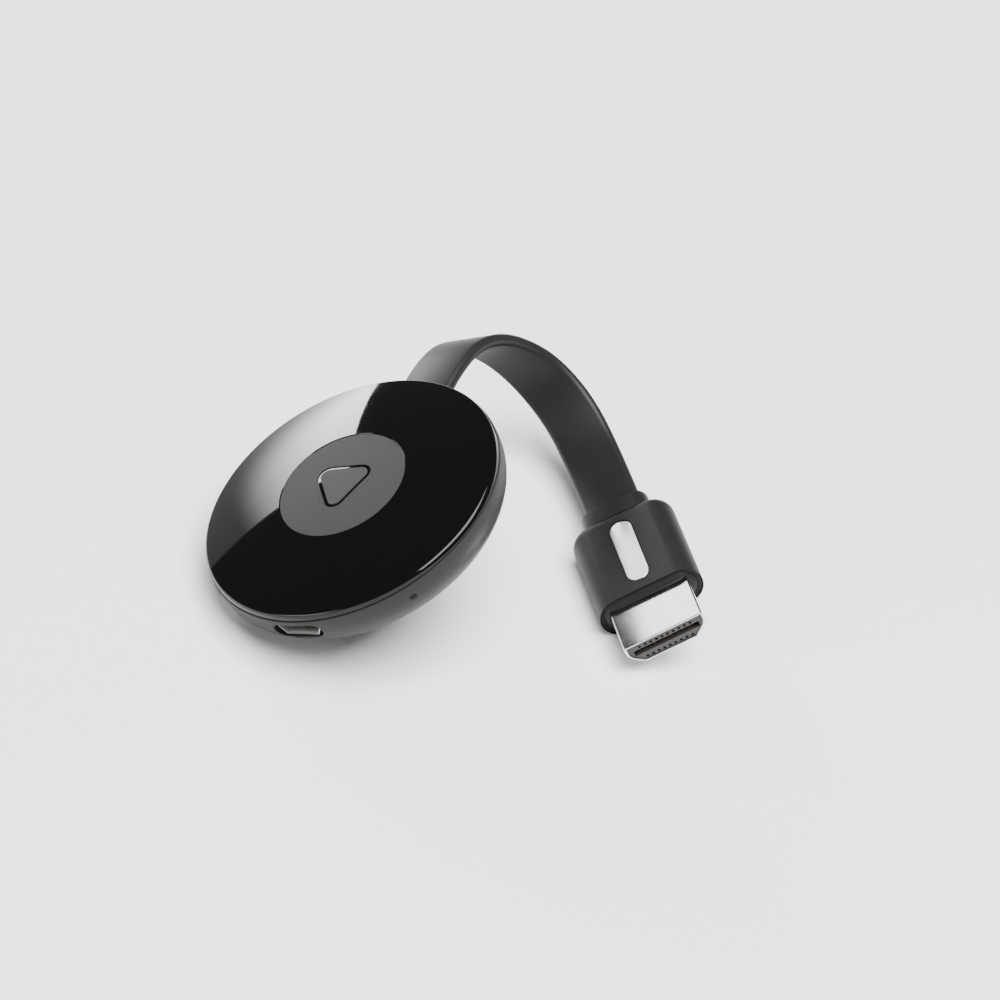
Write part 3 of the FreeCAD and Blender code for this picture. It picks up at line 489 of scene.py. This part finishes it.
class Shape:
    """A solid that grows from a flat outline or from a turned profile, in millimetres."""

    def __init__(self) -> None:
        """An empty solid."""
        self.mesh = bmesh.new()
        self.cap: list[bmesh.types.BMFace] = []
        self.tip: bmesh.types.BMVert | None = None

    def stadium(self, width: float, height: float, segments: int = 48) -> "Shape":
        """Start from a slot-shaped face with round ends, long along x."""
        ring = bmesh.ops.create_circle(self.mesh, cap_ends=True, radius=height / 2, segments=segments)
        turn = Matrix.Rotation(math.pi / segments, 3, "Z")
        bmesh.ops.rotate(self.mesh, verts=ring["verts"], cent=(0, 0, 0), matrix=turn)
        flat = 1 / math.cos(math.pi / segments)
        bmesh.ops.scale(self.mesh, verts=ring["verts"], vec=(1, flat, 1))
        for side in (-1, 1):
            half = [vert for vert in ring["verts"] if vert.co.x * side > 0]
            bmesh.ops.translate(self.mesh, verts=half, vec=(side * (width - height) / 2, 0, 0))
        self.cap = list(self.mesh.faces)
        return self

    def disc(self, diameter: float, segments: int) -> "Shape":
        """Start from a round face."""
        return self.stadium(diameter, diameter - MERGE_MM, segments)

    def plate(self, corners: Iterable[tuple[float, float]], rounding: float, segments: int = 5) -> "Shape":
        """Start from a flat face on a few corners, which are then rounded."""
        verts = [self.mesh.verts.new((x, y, 0.0)) for x, y in corners]
        self.mesh.faces.new(verts)
        bmesh.ops.bevel(
            self.mesh,
            geom=verts,
            offset=rounding,
            segments=segments,
            affect="VERTICES",
            profile=0.5,
            material=-1,
        )
        self.cap = list(self.mesh.faces)
        return self

    def rise(self, length: float) -> "Shape":
        """Extrude the cap along z; a flat outline becomes a closed solid, and less than 0 a pocket."""
        flat = all(edge.is_boundary for face in self.cap for edge in face.edges)
        raised = bmesh.ops.extrude_face_region(self.mesh, geom=self.cap, use_keep_orig=True)
        verts = [item for item in raised["geom"] if isinstance(item, bmesh.types.BMVert)]
        if not flat:
            bmesh.ops.delete(self.mesh, geom=self.cap, context="FACES_ONLY")
        self.cap = [item for item in raised["geom"] if isinstance(item, bmesh.types.BMFace)]
        bmesh.ops.translate(self.mesh, verts=verts, vec=(0, 0, length))
        self._face_out()
        return self

    def turn_over(self, length: float) -> "Shape":
        """Turn the solid end for end over a length, and carry on from the end that then faces up."""
        self.mesh.transform(Matrix.Translation((0, 0, length)) @ Matrix.Rotation(math.pi, 4, "X"))
        self._face_out()
        self.cap = [max(self.mesh.faces, key=lambda face: face.calc_center_median().z)]
        return self

    def flare(self, length: float, widen: tuple[float, float]) -> "Shape":
        """Extrude the cap along z while it grows by a factor along x and along y."""
        self.rise(length)
        verts = list({vert for face in self.cap for vert in face.verts})
        bmesh.ops.scale(self.mesh, verts=verts, vec=(*widen, 1.0))
        return self

    def _face_out(self) -> None:
        """Turn every face outwards."""
        bmesh.ops.recalc_face_normals(self.mesh, faces=self.mesh.faces)

    def draw_in(self, thickness: float, depth: float = 0.0) -> "Shape":
        """Inset the cap by a thickness while it moves along its normal by a depth."""
        bmesh.ops.inset_region(
            self.mesh,
            faces=self.cap,
            thickness=thickness,
            depth=depth,
            use_even_offset=True,
            use_boundary=True,
        )
        return self

    def round_over(self, radius: float, steps: int = 6) -> "Shape":
        """Round the solid's edge into its cap by a quarter circle."""
        for step in range(steps):
            now, then = QUARTER * step / steps, QUARTER * (step + 1) / steps
            inwards, onwards = math.cos(now) - math.cos(then), math.sin(then) - math.sin(now)
            self.draw_in(radius * inwards, radius * onwards)
        return self

    def start(self, x: float, z: float) -> "Shape":
        """Start a profile to be turned about z."""
        self.tip = self.mesh.verts.new((x, 0.0, z))
        return self

    def line(self, x: float, z: float) -> "Shape":
        """Carry the profile straight on to a point."""
        end = self.mesh.verts.new((x, 0.0, z))
        self.mesh.edges.new((self.tip, end))
        self.tip = end
        return self

    def arc(self, x: float, z: float, degrees: float, steps: int) -> "Shape":
        """Carry the profile round a centre; positive degrees turn x towards z."""
        swept = bmesh.ops.spin(
            self.mesh,
            geom=[self.tip],
            cent=(x, 0.0, z),
            axis=(0.0, -1.0, 0.0),
            dvec=(0.0, 0.0, 0.0),
            angle=math.radians(degrees),
            steps=steps,
            use_duplicate=False,
        )
        self.tip = next(item for item in swept["geom_last"] if isinstance(item, bmesh.types.BMVert))
        return self

    def turn(self, steps: int = 192) -> "Shape":
        """Spin the profile into a closed solid of revolution about z."""
        bmesh.ops.spin(
            self.mesh,
            geom=list(self.mesh.verts) + list(self.mesh.edges),
            cent=(0.0, 0.0, 0.0),
            axis=(0.0, 0.0, 1.0),
            dvec=(0.0, 0.0, 0.0),
            angle=2 * math.pi,
            steps=steps,
            use_merge=True,
            use_duplicate=False,
        )
        bmesh.ops.remove_doubles(self.mesh, verts=self.mesh.verts, dist=MERGE_MM)
        self._face_out()
        return self

    def soften(
        self, picked: Callable[[bmesh.types.BMEdge], bool], offset: float, segments: int = 3
    ) -> "Shape":
        """Bevel the edges that picked accepts."""
        edges = [edge for edge in self.mesh.edges if picked(edge)]
        bmesh.ops.bevel(
            self.mesh,
            geom=edges,
            offset=offset,
            segments=segments,
            affect="EDGES",
            profile=0.5,
            material=-1,
            clamp_overlap=True,
        )
        return self

    def cut(self, tool: "Shape", place: Matrix) -> "Shape":
        """Take another solid's room out of this one.

        Args:
            tool: The cutting solid, used up by this.
            place: Where the tool stands in this solid's frame.

        Returns:
            This solid.
        """
        tool.mesh.transform(place)
        bmesh.ops.recalc_face_normals(tool.mesh, faces=tool.mesh.faces)
        base, knife = self._scratch("cut_base"), tool._scratch("cut_tool")
        step = base.modifiers.new("cut", "BOOLEAN")
        step.operation, step.solver, step.object = "DIFFERENCE", "EXACT", knife
        depsgraph = bpy.context.evaluated_depsgraph_get()
        cut_mesh = bpy.data.meshes.new_from_object(base.evaluated_get(depsgraph))
        self.mesh = bmesh.new()
        self.mesh.from_mesh(cut_mesh)
        for scratch in (base, knife):
            bpy.data.objects.remove(scratch)
        bpy.data.meshes.remove(cut_mesh)
        bmesh.ops.remove_doubles(self.mesh, verts=self.mesh.verts, dist=MERGE_MM)
        return self

    def _scratch(self, name: str) -> bpy.types.Object:
        """This solid as a passing object, with its bmesh freed."""
        data = bpy.data.meshes.new(name)
        self.mesh.to_mesh(data)
        self.mesh.free()
        made = bpy.data.objects.new(name, data)
        bpy.context.scene.collection.objects.link(made)
        bpy.context.view_layer.update()
        return made


@dataclass(frozen=True)
class Piece:
    """How one finished piece is named, dressed and carried."""

    name: str
    finish: Finish
    body: str
    slot: str
    stands_for: tuple[str, ...]

    def make(self, shape: Shape, seat: Matrix, place: Matrix | None = None) -> bpy.types.Object:
        """Turn a shape into the finished object.

        Args:
            shape: The solid, in millimetres; it is used up.
            seat: The frame of the puck or of the plug, in metres.
            place: Where the solid stands in that frame, in millimetres.

        Returns:
            The object, at the origin, with its place in its mesh.
        """
        shape.mesh.transform(seat @ Matrix.Scale(MM, 4) @ (place or Matrix.Identity(4)))
        made = self.wrap(shape.mesh)
        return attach(made, self.body)

    def wrap(self, mesh: bmesh.types.BMesh) -> bpy.types.Object:
        """A bmesh in the row frame as a dressed object that rides on nothing yet."""
        data = bpy.data.meshes.new(self.name)
        mesh.to_mesh(data)
        mesh.free()
        data.polygons.foreach_set("use_smooth", [True] * len(data.polygons))
        data.set_sharp_from_angle(angle=SMOOTH_ANGLE)
        made = bpy.data.objects.new(self.name, data)
        bpy.context.scene.collection.objects.link(made)
        data.materials.append(self.finish.material())
        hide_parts(*self.stands_for)
        LOG.info("%s: %d faces on %s", self.name, len(data.polygons), self.body)
        return made


def at_height(z: float, radius: float = 0.0) -> Callable[[bmesh.types.BMEdge], bool]:
    """A test for level edges at one height, and at one distance from z if that is given."""

    def level(edge: bmesh.types.BMEdge) -> bool:
        """Whether both of the edge's ends are there."""
        return all(
            abs(vert.co.z - z) < 1e-3 and (radius == 0.0 or abs(vert.co.xy.length - radius) < 1e-2)
            for vert in edge.verts
        )

    return level


# ---------------------------------------------------------------------------------- the puck


@dataclass
class Puck:
    """The round body: housing, glossy cover, inlay, light, button and power socket."""

    back: dict = field(default_factory=lambda: mount("back_face"))
    radius: float = 25.95
    back_round: float = 7.75
    wall: float = 1.3
    housing_top: float = 9.0
    seam: float = 0.25
    seam_radius: float = 24.55
    skirt_radius: float = 25.8
    face_radius: float = 25.6
    face_edge: float = 10.2
    face_crown: float = 13.49
    edge_round: float = 0.35
    tongue_inner: float = 23.6
    tongue_low: float = 8.3
    inlay_radius: float = 11.0
    lead_angle: float = 54.0
    lead_height: float = 4.35
    port_height: float = 6.47
    light_angle: float = -80.4
    light_height: float = 6.64
    button_angle: float = -175.0
    button_height: float = 6.4
    hole_start: float = 23.4
    hole_depth: float = 3.4
    light_hole: float = 1.24
    light_pipe: float = 1.16
    light_start: float = 22.2
    button_hole: float = 2.5
    button_flange: float = 3.4
    lead_start: float = 20.6
    port_start: float = 19.1
    port_recess_start: float = 22.4
    pocket_depth: float = 0.26
    pocket_play: float = 0.05
    pocket_slope: float = 0.12
    pocket_drop: float = 0.1

    @property
    def port_angle(self) -> float:
        """The power socket is opposite the lead."""
        return self.lead_angle + 180.0

    @property
    def seat(self) -> Matrix:
        """The puck's frame: +Z out of the glossy face, origin in the middle of the back."""
        return level_seat(Vector(self.back["pos_m"]), -Vector(self.back["axis"]))

    @property
    def dome(self) -> float:
        """Radius of the sphere that the face is a cap of."""
        rise = self.face_crown - self.face_edge
        return (self.face_radius**2 + rise**2) / (2 * rise)

    def skin(self, radius: float, sink: float = 0.0) -> float:
        """Height of the face, or of a sphere sunk under it, at a distance from the middle."""
        ball = self.dome - sink
        return self.face_crown - self.dome + math.sqrt(ball**2 - radius**2)

    def build(self) -> None:
        """Make every piece of the puck."""
        self.build_cover()
        self.build_inlay()
        self.build_housing()
        self.build_grommet()
        self.build_button()
        self.build_light()
        self.build_port()

    def build_cover(self) -> None:
        """The domed cover with its pocket, rim, skirt and snap tongue."""
        centre = self.face_crown - self.dome
        pocket = self.inlay_radius + self.pocket_play
        rim = pocket + self.pocket_slope
        inner_ball = self.dome - self.wall
        start = math.degrees(math.asin(rim / self.dome))
        end = math.degrees(math.asin(self.face_radius / self.dome))
        under = math.degrees(math.asin(self.tongue_inner / inner_ball))
        floor_turn = math.degrees(math.asin(pocket / (self.dome - self.pocket_depth)))
        shape = Shape().start(0.0, self.skin(0.0, self.pocket_depth)).arc(0.0, centre, -floor_turn, 8)
        shape.line(pocket, self.skin(pocket) - self.pocket_drop).line(rim, self.skin(rim))
        shape.arc(0.0, centre, start - end, 40)
        shape.line(self.skirt_radius, self.housing_top + self.seam)
        shape.line(self.seam_radius, self.housing_top + self.seam)
        shape.line(self.seam_radius, self.tongue_low).line(self.tongue_inner, self.tongue_low)
        shape.line(self.tongue_inner, self.skin(self.tongue_inner, self.wall))
        shape.arc(0.0, centre, under, 12).turn()
        shape.soften(at_height(self.face_edge, self.face_radius), self.edge_round, 6)
        shape.soften(at_height(self.housing_top + self.seam, self.skirt_radius), 0.08, 3)
        piece = Piece("glossy_cover", Finish.GLOSS_BLACK, "puck", "gloss_black", ("top_cover",))
        piece.make(shape, self.seat)

    def build_inlay(self) -> None:
        """The matte disc's two films keep their CAD shape; the glossy pocket shows between them."""
        for node, finish in (("emblem_ring", Finish.INLAY), ("emblem_triangle", Finish.INLAY_LIGHT)):
            dress_node(node, finish)

    def build_housing(self) -> None:
        """The grey cup with its rolled rim and its four openings."""
        flat = self.radius - self.back_round
        inner = self.radius - self.wall
        shape = Shape().start(0.0, 0.0).line(flat * 0.6, 0.0).line(flat, 0.0)
        shape.arc(flat, self.back_round, 90.0, 20).line(self.radius, self.housing_top)
        shape.line(inner, self.housing_top).line(inner, self.back_round)
        shape.arc(flat, self.back_round, -90.0, 14).line(0.0, self.wall).turn()
        shape.soften(at_height(self.housing_top, self.radius), 0.14, 4)
        port = Shape().stadium(8.9, 3.3).rise(2.9).flare(1.0, (1.06, 1.08))
        shape.cut(port, out_of_rim(self.port_angle, self.port_recess_start, self.port_height))
        exit_hole = Shape().stadium(12.1, 4.3).rise(6.0)
        shape.cut(exit_hole, out_of_rim(self.lead_angle, self.lead_start, self.lead_height))
        light = Shape().disc(self.light_hole, 32).rise(self.hole_depth)
        shape.cut(light, out_of_rim(self.light_angle, self.hole_start, self.light_height))
        button = Shape().disc(self.button_hole, 40).rise(self.hole_depth)
        shape.cut(button, out_of_rim(self.button_angle, self.hole_start, self.button_height))
        piece = Piece("puck_housing", Finish.HOUSING_GREY, "puck", "housing_grey", ("lower_housing",))
        piece.make(shape, self.seat)

    def build_grommet(self) -> None:
        """The strain relief that the lead leaves through: a block that rounds in to the lead."""
        shape = Shape().stadium(12.0, 4.2).rise(5.3).round_over(0.4, 5).draw_in(0.25, -0.04)
        place = out_of_rim(self.lead_angle, self.lead_start, self.lead_height)
        piece = Piece("lead_grommet", Finish.OVERMOULD, "puck", "overmould", ("cable_grommet",))
        piece.make(shape, self.seat, place)

    def build_button(self) -> None:
        """The reset button: flange, stem, rounded rim and dished end."""
        shape = Shape().disc(self.button_flange, 40).rise(0.5).draw_in(0.5).rise(2.05)
        shape.round_over(0.2, 5).draw_in(0.25, -0.05).draw_in(0.3, -0.04)
        place = out_of_rim(self.button_angle, self.hole_start, self.button_height)
        piece = Piece("button_cap", Finish.BUTTON, "button", "button_plastic", ("reset_button",))
        piece.make(shape, self.seat, place)

    def build_light(self) -> None:
        """The light pipe with a softly crowned outer end."""
        shape = Shape().disc(self.light_pipe, 32).rise(3.55).round_over(0.12, 4)
        place = out_of_rim(self.light_angle, self.light_start, self.light_height)
        piece = Piece("light_lens", Finish.LENS, "puck", "clear_pipe", ("light_pipe",))
        piece.make(shape, self.seat, place)

    def build_port(self) -> None:
        """The power socket: a folded sheet-metal mouth with flared lips."""
        half, tall, knee, slope = 3.8, 1.27, 0.25, 0.9
        corners = [
            (-half, tall), (-half, knee), (-half + slope, -tall),
            (half - slope, -tall), (half, knee), (half, tall),
        ]
        shape = Shape().plate(corners, 0.22).rise(5.2).flare(0.6, (1.04, 1.16))
        shape.draw_in(0.06, 0.02).draw_in(0.14, 0.0).flare(-0.5, (0.96, 0.84)).rise(-5.0)
        place = out_of_rim(self.port_angle, self.port_start, self.port_height)
        piece = Piece("port_mouth", Finish.PORT_STEEL, "puck", "bright_nickel", ("port_shell",))
        piece.make(shape, self.seat, place)


# ---------------------------------------------------------------------------------- the lead


@dataclass
class FlatLead:
    """The flat captive lead that arches from the puck down to the plug."""

    puck: Puck
    width: float = 9.8
    thickness: float = 2.2
    length: float = 66.6
    order: int = 3
    route: tuple[tuple[float, float, float], ...] = (
        (0.01504, 0.0213, 0.0214),
        (0.02024, 0.0295, 0.0243),
        (0.02834, 0.0366, 0.0224),
        (0.03764, 0.0380, 0.0162),
        (0.04444, 0.0320, 0.0103),
        (0.04704, 0.0205, 0.0065),
        (0.04704, 0.0080, 0.0065),
    )

    def line(self) -> list[Vector]:
        """Points along the lead's smooth line, in metres."""
        curve = bpy.data.curves.new("lead_line", "CURVE")
        curve.dimensions = "3D"
        spline = curve.splines.new("NURBS")
        spline.points.add(len(self.route) - 1)
        for point, place in zip(spline.points, self.route):
            point.co = (*place, 1.0)
        spline.order_u = self.order
        spline.use_endpoint_u = True
        spline.resolution_u = 16
        holder = bpy.data.objects.new("lead_line", curve)
        bpy.context.scene.collection.objects.link(holder)
        bpy.context.view_layer.update()
        sampled = bpy.data.meshes.new_from_object(holder)
        points = [vert.co.copy() for vert in sampled.vertices]
        bpy.data.objects.remove(holder)
        bpy.data.meshes.remove(sampled)
        return points

    def widths(self, points: list[Vector]) -> list[tuple[Vector, Vector]]:
        """The line's direction and the lead's width direction at each point."""
        turn = self.puck.seat.to_3x3()
        first = turn @ (Matrix.Rotation(math.radians(self.puck.lead_angle), 3, "Z") @ Vector((0, -1, 0)))
        last = turn @ Vector((1, 0, 0))
        steps = [(after - before).length for before, after in zip(points, points[1:])]
        found = []
        travelled = 0.0
        for index, step in enumerate([*steps, 0.0]):
            before, after = points[max(index - 1, 0)], points[min(index + 1, len(points) - 1)]
            along = (after - before).normalized()
            across = first.lerp(last, travelled / sum(steps))
            found.append((along, (across - along * across.dot(along)).normalized()))
            travelled += step
        return found

    def build(self, with_pieces: Sequence[bpy.types.Object | str]) -> bpy.types.Object:
        """Loft the lead's flat section along its line.

        Args:
            with_pieces: The pieces at its far end; not used.

        Returns:
            The lead.
        """
        points = self.line()
        loft = bmesh.new()
        before: list[bmesh.types.BMEdge] = []
        for point, (along, across) in zip(points, self.widths(points)):
            ring = Shape().stadium(self.width, self.thickness, 28)
            bmesh.ops.delete(ring.mesh, geom=ring.cap, context="FACES_ONLY")
            turn = Matrix((across, along.cross(across), along)).transposed().to_4x4()
            ring.mesh.transform(Matrix.Translation(point) @ turn @ Matrix.Scale(MM, 4))
            passing = bpy.data.meshes.new("lead_ring")
            ring.mesh.to_mesh(passing)
            ring.mesh.free()
            known = set(loft.edges)
            loft.from_mesh(passing)
            bpy.data.meshes.remove(passing)
            now = [edge for edge in loft.edges if edge not in known]
            if before:
                bmesh.ops.bridge_loops(loft, edges=before + now)
            before = now
        bmesh.ops.holes_fill(loft, edges=[edge for edge in loft.edges if edge.is_boundary], sides=0)
        bmesh.ops.recalc_face_normals(loft, faces=loft.faces)
        lead = Piece("flat_lead", Finish.LEAD, "puck", "lead_rubber", ("ribbon_cable",)).wrap(loft)
        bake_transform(lead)
        return lead


# ---------------------------------------------------------------------------------- the plug


@dataclass
class VideoPlug:
    """The moulded plug with its steel plate and its metal mouth."""

    collar: float = 4.0
    body: float = 21.0
    reach: float = 9.3
    shell_length: float = 16.0
    shoulder: float = 2.6
    lip: float = 0.45
    plate_middle: float = 14.9
    plate_size: tuple[float, float] = (15.0, 4.0)
    plate_gap: float = 0.24
    plate_under: float = 3.2

    @property
    def plate_seat(self) -> Matrix:
        """The floor of the keeper plate's pocket in the plug's frame: +Z out of it, x along the plug."""
        turn = Matrix.Rotation(-QUARTER, 4, "X") @ Matrix.Rotation(QUARTER, 4, "Z")
        return Matrix.Translation((0, self.plate_under, self.plate_middle)) @ turn

    @property
    def seat(self) -> Matrix:
        """The plug's frame turned so that +Z points to its mouth and y out of its steel plate."""
        nose, face = mount("video_plug"), Vector(mount("plate_face")["axis"])
        start = Vector(nose["pos_m"]) - Vector(nose["axis"]) * (self.collar + self.body + self.reach) * MM
        return level_seat(start, face) @ Matrix.Rotation(QUARTER, 4, "X")

    def build(self) -> list[bpy.types.Object]:
        """Make the plug's pieces.

        Returns:
            Every new piece of the plug.
        """
        return [self.build_collar(), self.build_body(), self.build_plate(), self.build_mouth()]

    def build_collar(self) -> bpy.types.Object:
        """The neck between lead and body, rounded in to the lead."""
        shape = Shape().stadium(12.0, 5.2).rise(3.5).round_over(0.5, 5).draw_in(0.3, -0.03)
        shape.turn_over(self.collar)
        piece = Piece("plug_neck", Finish.OVERMOULD, "plug", "overmould", ("plug_collar",))
        return piece.make(shape, self.seat)

    def build_body(self) -> bpy.types.Object:
        """The overmould: round shoulders behind, a lip round a shallow recess in front."""
        straight = self.body - self.shoulder - self.lip
        shape = Shape().stadium(18.2, 7.8, 64).rise(straight).round_over(self.shoulder, 10)
        shape.turn_over(self.collar + self.body - self.lip)
        shape.round_over(self.lip, 5).draw_in(0.25).draw_in(0.6, -0.6).draw_in(0.4, -0.2)
        width, height = (side + self.plate_gap for side in self.plate_size)
        shape.cut(Shape().stadium(width, height, 48).rise(2.0), self.plate_seat)
        piece = Piece("plug_body", Finish.OVERMOULD, "plug", "overmould", ("plug_housing",))
        return piece.make(shape, self.seat)

    def build_plate(self) -> bpy.types.Object:
        """The satin steel keeper plate."""
        shape = Shape().stadium(*self.plate_size, 48).rise(0.45).round_over(0.15, 4)
        piece = Piece("keeper_plate", Finish.SATIN_STEEL, "plug", "satin_steel", ("plug_plate",))
        return piece.make(shape, self.seat, self.plate_seat)

    def build_mouth(self) -> bpy.types.Object:
        """The folded metal mouth: rounded corners, a rolled rim and the carrier's room in it."""
        half, top = 7.0, 2.225
        corners = [
            (-half, top), (-half, 0.5), (-half + 0.5, -0.6), (-half + 2.3, -top),
            (half - 2.3, -top), (half - 0.5, -0.6), (half, 0.5), (half, top),
        ]
        shape = Shape().plate(corners, 0.35, 4).rise(self.shell_length - 0.1)
        shape.draw_in(0.1, 0.1).draw_in(0.16, 0.0).draw_in(0.09, -0.08).rise(0.6 - self.shell_length)
        start = self.collar + self.body + self.reach - self.shell_length
        shape.mesh.transform(Matrix.Translation((0, 0, start)))
        piece = Piece("plug_mouth", Finish.NICKEL, "plug", "bright_nickel", ("plug_shell",))
        return piece.make(shape, self.seat)


# ------------------------------------------------------------------------------ carried nodes


def dress_node(node: str, finish: Finish) -> None:
    """Give a CAD node that keeps its shape its finish."""
    slots = frame["nodes"][node].data.materials
    slots.clear()
    slots.append(finish.material())
    LOG.info("%s: keeps its shape, dressed in %s", node, finish.name.lower())


KEPT_NODES = {
    Finish.BOARD: ("main_board", "plug_board"),
    Finish.CHIP: ("media_processor", "memory_chip", "flash_chip", "wireless_chip", "power_chip"),
    Finish.THERMAL: ("processor_pad", "spreader_pad"),
    Finish.TINNED: (
        "shield_frame", "shield_can", "magnet_clip", "plug_can", "antenna_long", "antenna_short",
    ),
    Finish.ALUMINIUM: ("heat_spreader",),
    Finish.MAGNET: ("back_magnet",),
    Finish.SCREW: ("board_screws",),
    Finish.IVORY: ("cable_connector", "reset_switch", "status_led"),
    Finish.AMBER: ("cable_tail",),
    Finish.CARRIER: ("port_tongue", "plug_insulator"),
    Finish.GOLD: ("port_contacts", "plug_contacts"),
}


METAL_PIECES = ("plug_mouth", "keeper_plate")


# ------------------------------------------------------------------------- floor, light, camera


@dataclass
class Studio:
    """Pale floor, soft lights and the camera."""

    camera_place: tuple[float, float, float] = (-0.12344, -0.46361, 0.38042)
    azimuth: float = 17.665
    elevation: float = 36.816
    roll: float = 7.82
    lens: float = 133.9
    floor_size: float = 6.0

    def build(self) -> None:
        """Make the floor, the lights and the camera."""
        self.build_floor()
        self.build_world()
        self.build_lights()
        self.build_camera()

    def build_floor(self) -> None:
        """A wide pale floor just under the player."""
        ground = bmesh.new()
        bmesh.ops.create_grid(ground, x_segments=1, y_segments=1, size=self.floor_size / 2)
        bmesh.ops.translate(ground, verts=ground.verts, vec=(0, 0, ROW_FLOOR_M))
        data = bpy.data.meshes.new("floor")
        ground.to_mesh(data)
        ground.free()
        floor = bpy.data.objects.new("floor", data)
        bpy.context.scene.collection.objects.link(floor)
        material = bpy.data.materials.new("pale_floor")
        paint = Graph(material)
        shade = paint.noise(0.002, 2.0)
        colour = paint.blend_colours(shade, (0.9, 0.9, 0.9), (0.93, 0.93, 0.93))
        paint.dress({"Base Color": colour, "Roughness": 0.9, "Specular IOR Level": 0.1})
        data.materials.append(material)

    def build_world(self) -> None:
        """An even, pale surround."""
        world = bpy.data.worlds.new("studio_air")
        world.use_nodes = True
        air = next(node for node in world.node_tree.nodes if node.type == "BACKGROUND")
        air.inputs["Color"].default_value = (1.0, 1.0, 1.0, 1.0)
        air.inputs["Strength"].default_value = 0.12
        bpy.context.scene.world = world

    def softbox(
        self,
        name: str,
        towards: Sequence[float],
        distance: float,
        size: tuple[float, float],
        power: float,
        tilt: float = 0.0,
    ) -> bpy.types.Light:
        """An area light that looks at the player.

        Args:
            name: The light's name.
            towards: Direction from the player to the light.
            distance: How far it is, in metres.
            size: Width and height, in metres.
            power: Watts.
            tilt: Turn about its own axis, in degrees.

        Returns:
            The light.
        """
        lamp = bpy.data.lights.new(name, "AREA")
        lamp.shape = "RECTANGLE"
        lamp.size, lamp.size_y = size
        lamp.energy = power
        held = bpy.data.objects.new(name, lamp)
        way = Vector(towards).normalized()
        held.location = way * distance
        look = way.to_track_quat("Z", "Y").to_matrix().to_4x4()
        held.rotation_euler = (look @ Matrix.Rotation(math.radians(tilt), 4, "Z")).to_euler()
        bpy.context.scene.collection.objects.link(held)
        return lamp

    def build_lights(self) -> None:
        """A soft key behind, a top light, a fill from the left and a light for the bright metal."""
        key = self.softbox("key_softbox", (-0.406, 0.908, 0.105), 1.6, (0.92, 0.92), 68.0, 45.0)
        self.feather(key)
        self.softbox("top_softbox", (0.15, -0.25, 1.0), 1.8, (1.6, 1.6), 120.0)
        self.softbox("left_fill", (-1.0, -0.25, 0.3), 1.8, (1.2, 0.6), 16.0)
        self.softbox("metal_softbox", (-0.36, 0.68, 0.64), 1.2, (0.7, 0.3), 2.2)
        self.light_only("metal_softbox", METAL_PIECES)

    def light_only(self, light: str, pieces: Iterable[str]) -> None:
        """Let a light reach only some pieces.

        Args:
            light: The light's name.
            pieces: The names of the pieces that it lights.
        """
        lit = bpy.data.collections.new(f"lit_by_{light}")
        for name in pieces:
            lit.objects.link(bpy.data.objects[name])
        bpy.data.objects[light].light_linking.receiver_collection = lit

    def feather(self, lamp: bpy.types.Light) -> None:
        """Make a softbox bright along its upper right side and fade it away from there."""
        graph = Graph(lamp, "Emission")
        spot = graph.node("ShaderNodeNewGeometry").outputs["Parametric"]
        parts = graph.node("ShaderNodeSeparateXYZ", None, {"Vector": spot})
        along, across = Value(graph, parts.outputs[0]), Value(graph, parts.outputs[1])
        from_side = across.step(0.45, 0.95)
        from_foot = (along + across).step(0.85, 1.35) * 0.85 + 0.15
        graph.dress({"Strength": from_side * from_foot + 0.03})

    def build_camera(self) -> None:
        """The camera at its place, with its level and its roll."""
        data = bpy.data.cameras.new("camera")
        data.lens = self.lens
        data.sensor_width = 36.0
        data.clip_start, data.clip_end = 0.01, 20.0
        camera = bpy.data.objects.new("camera", data)
        turn = Matrix.Rotation(math.radians(-self.azimuth), 4, "Z")
        tip = Matrix.Rotation(math.radians(90.0 - self.elevation), 4, "X")
        lean = Matrix.Rotation(math.radians(self.roll), 4, "Z")
        camera.matrix_world = Matrix.Translation(self.camera_place) @ turn @ tip @ lean
        bpy.context.scene.collection.objects.link(camera)
        bpy.context.scene.camera = camera


def main() -> None:
    """Build the player, then its surroundings."""
    logging.basicConfig(level=logging.INFO, format="%(name)s %(message)s")
    puck, plug = Puck(), VideoPlug()
    plug_pieces = plug.build()
    kept_on_plug = ["plug_insulator", "plug_contacts", "plug_board", "plug_can"]
    FlatLead(puck).build([*plug_pieces, *kept_on_plug])
    puck.build()
    for finish, nodes in KEPT_NODES.items():
        for node in nodes:
            dress_node(node, finish)
    Studio().build()


if __name__ == "__main__":
    main()
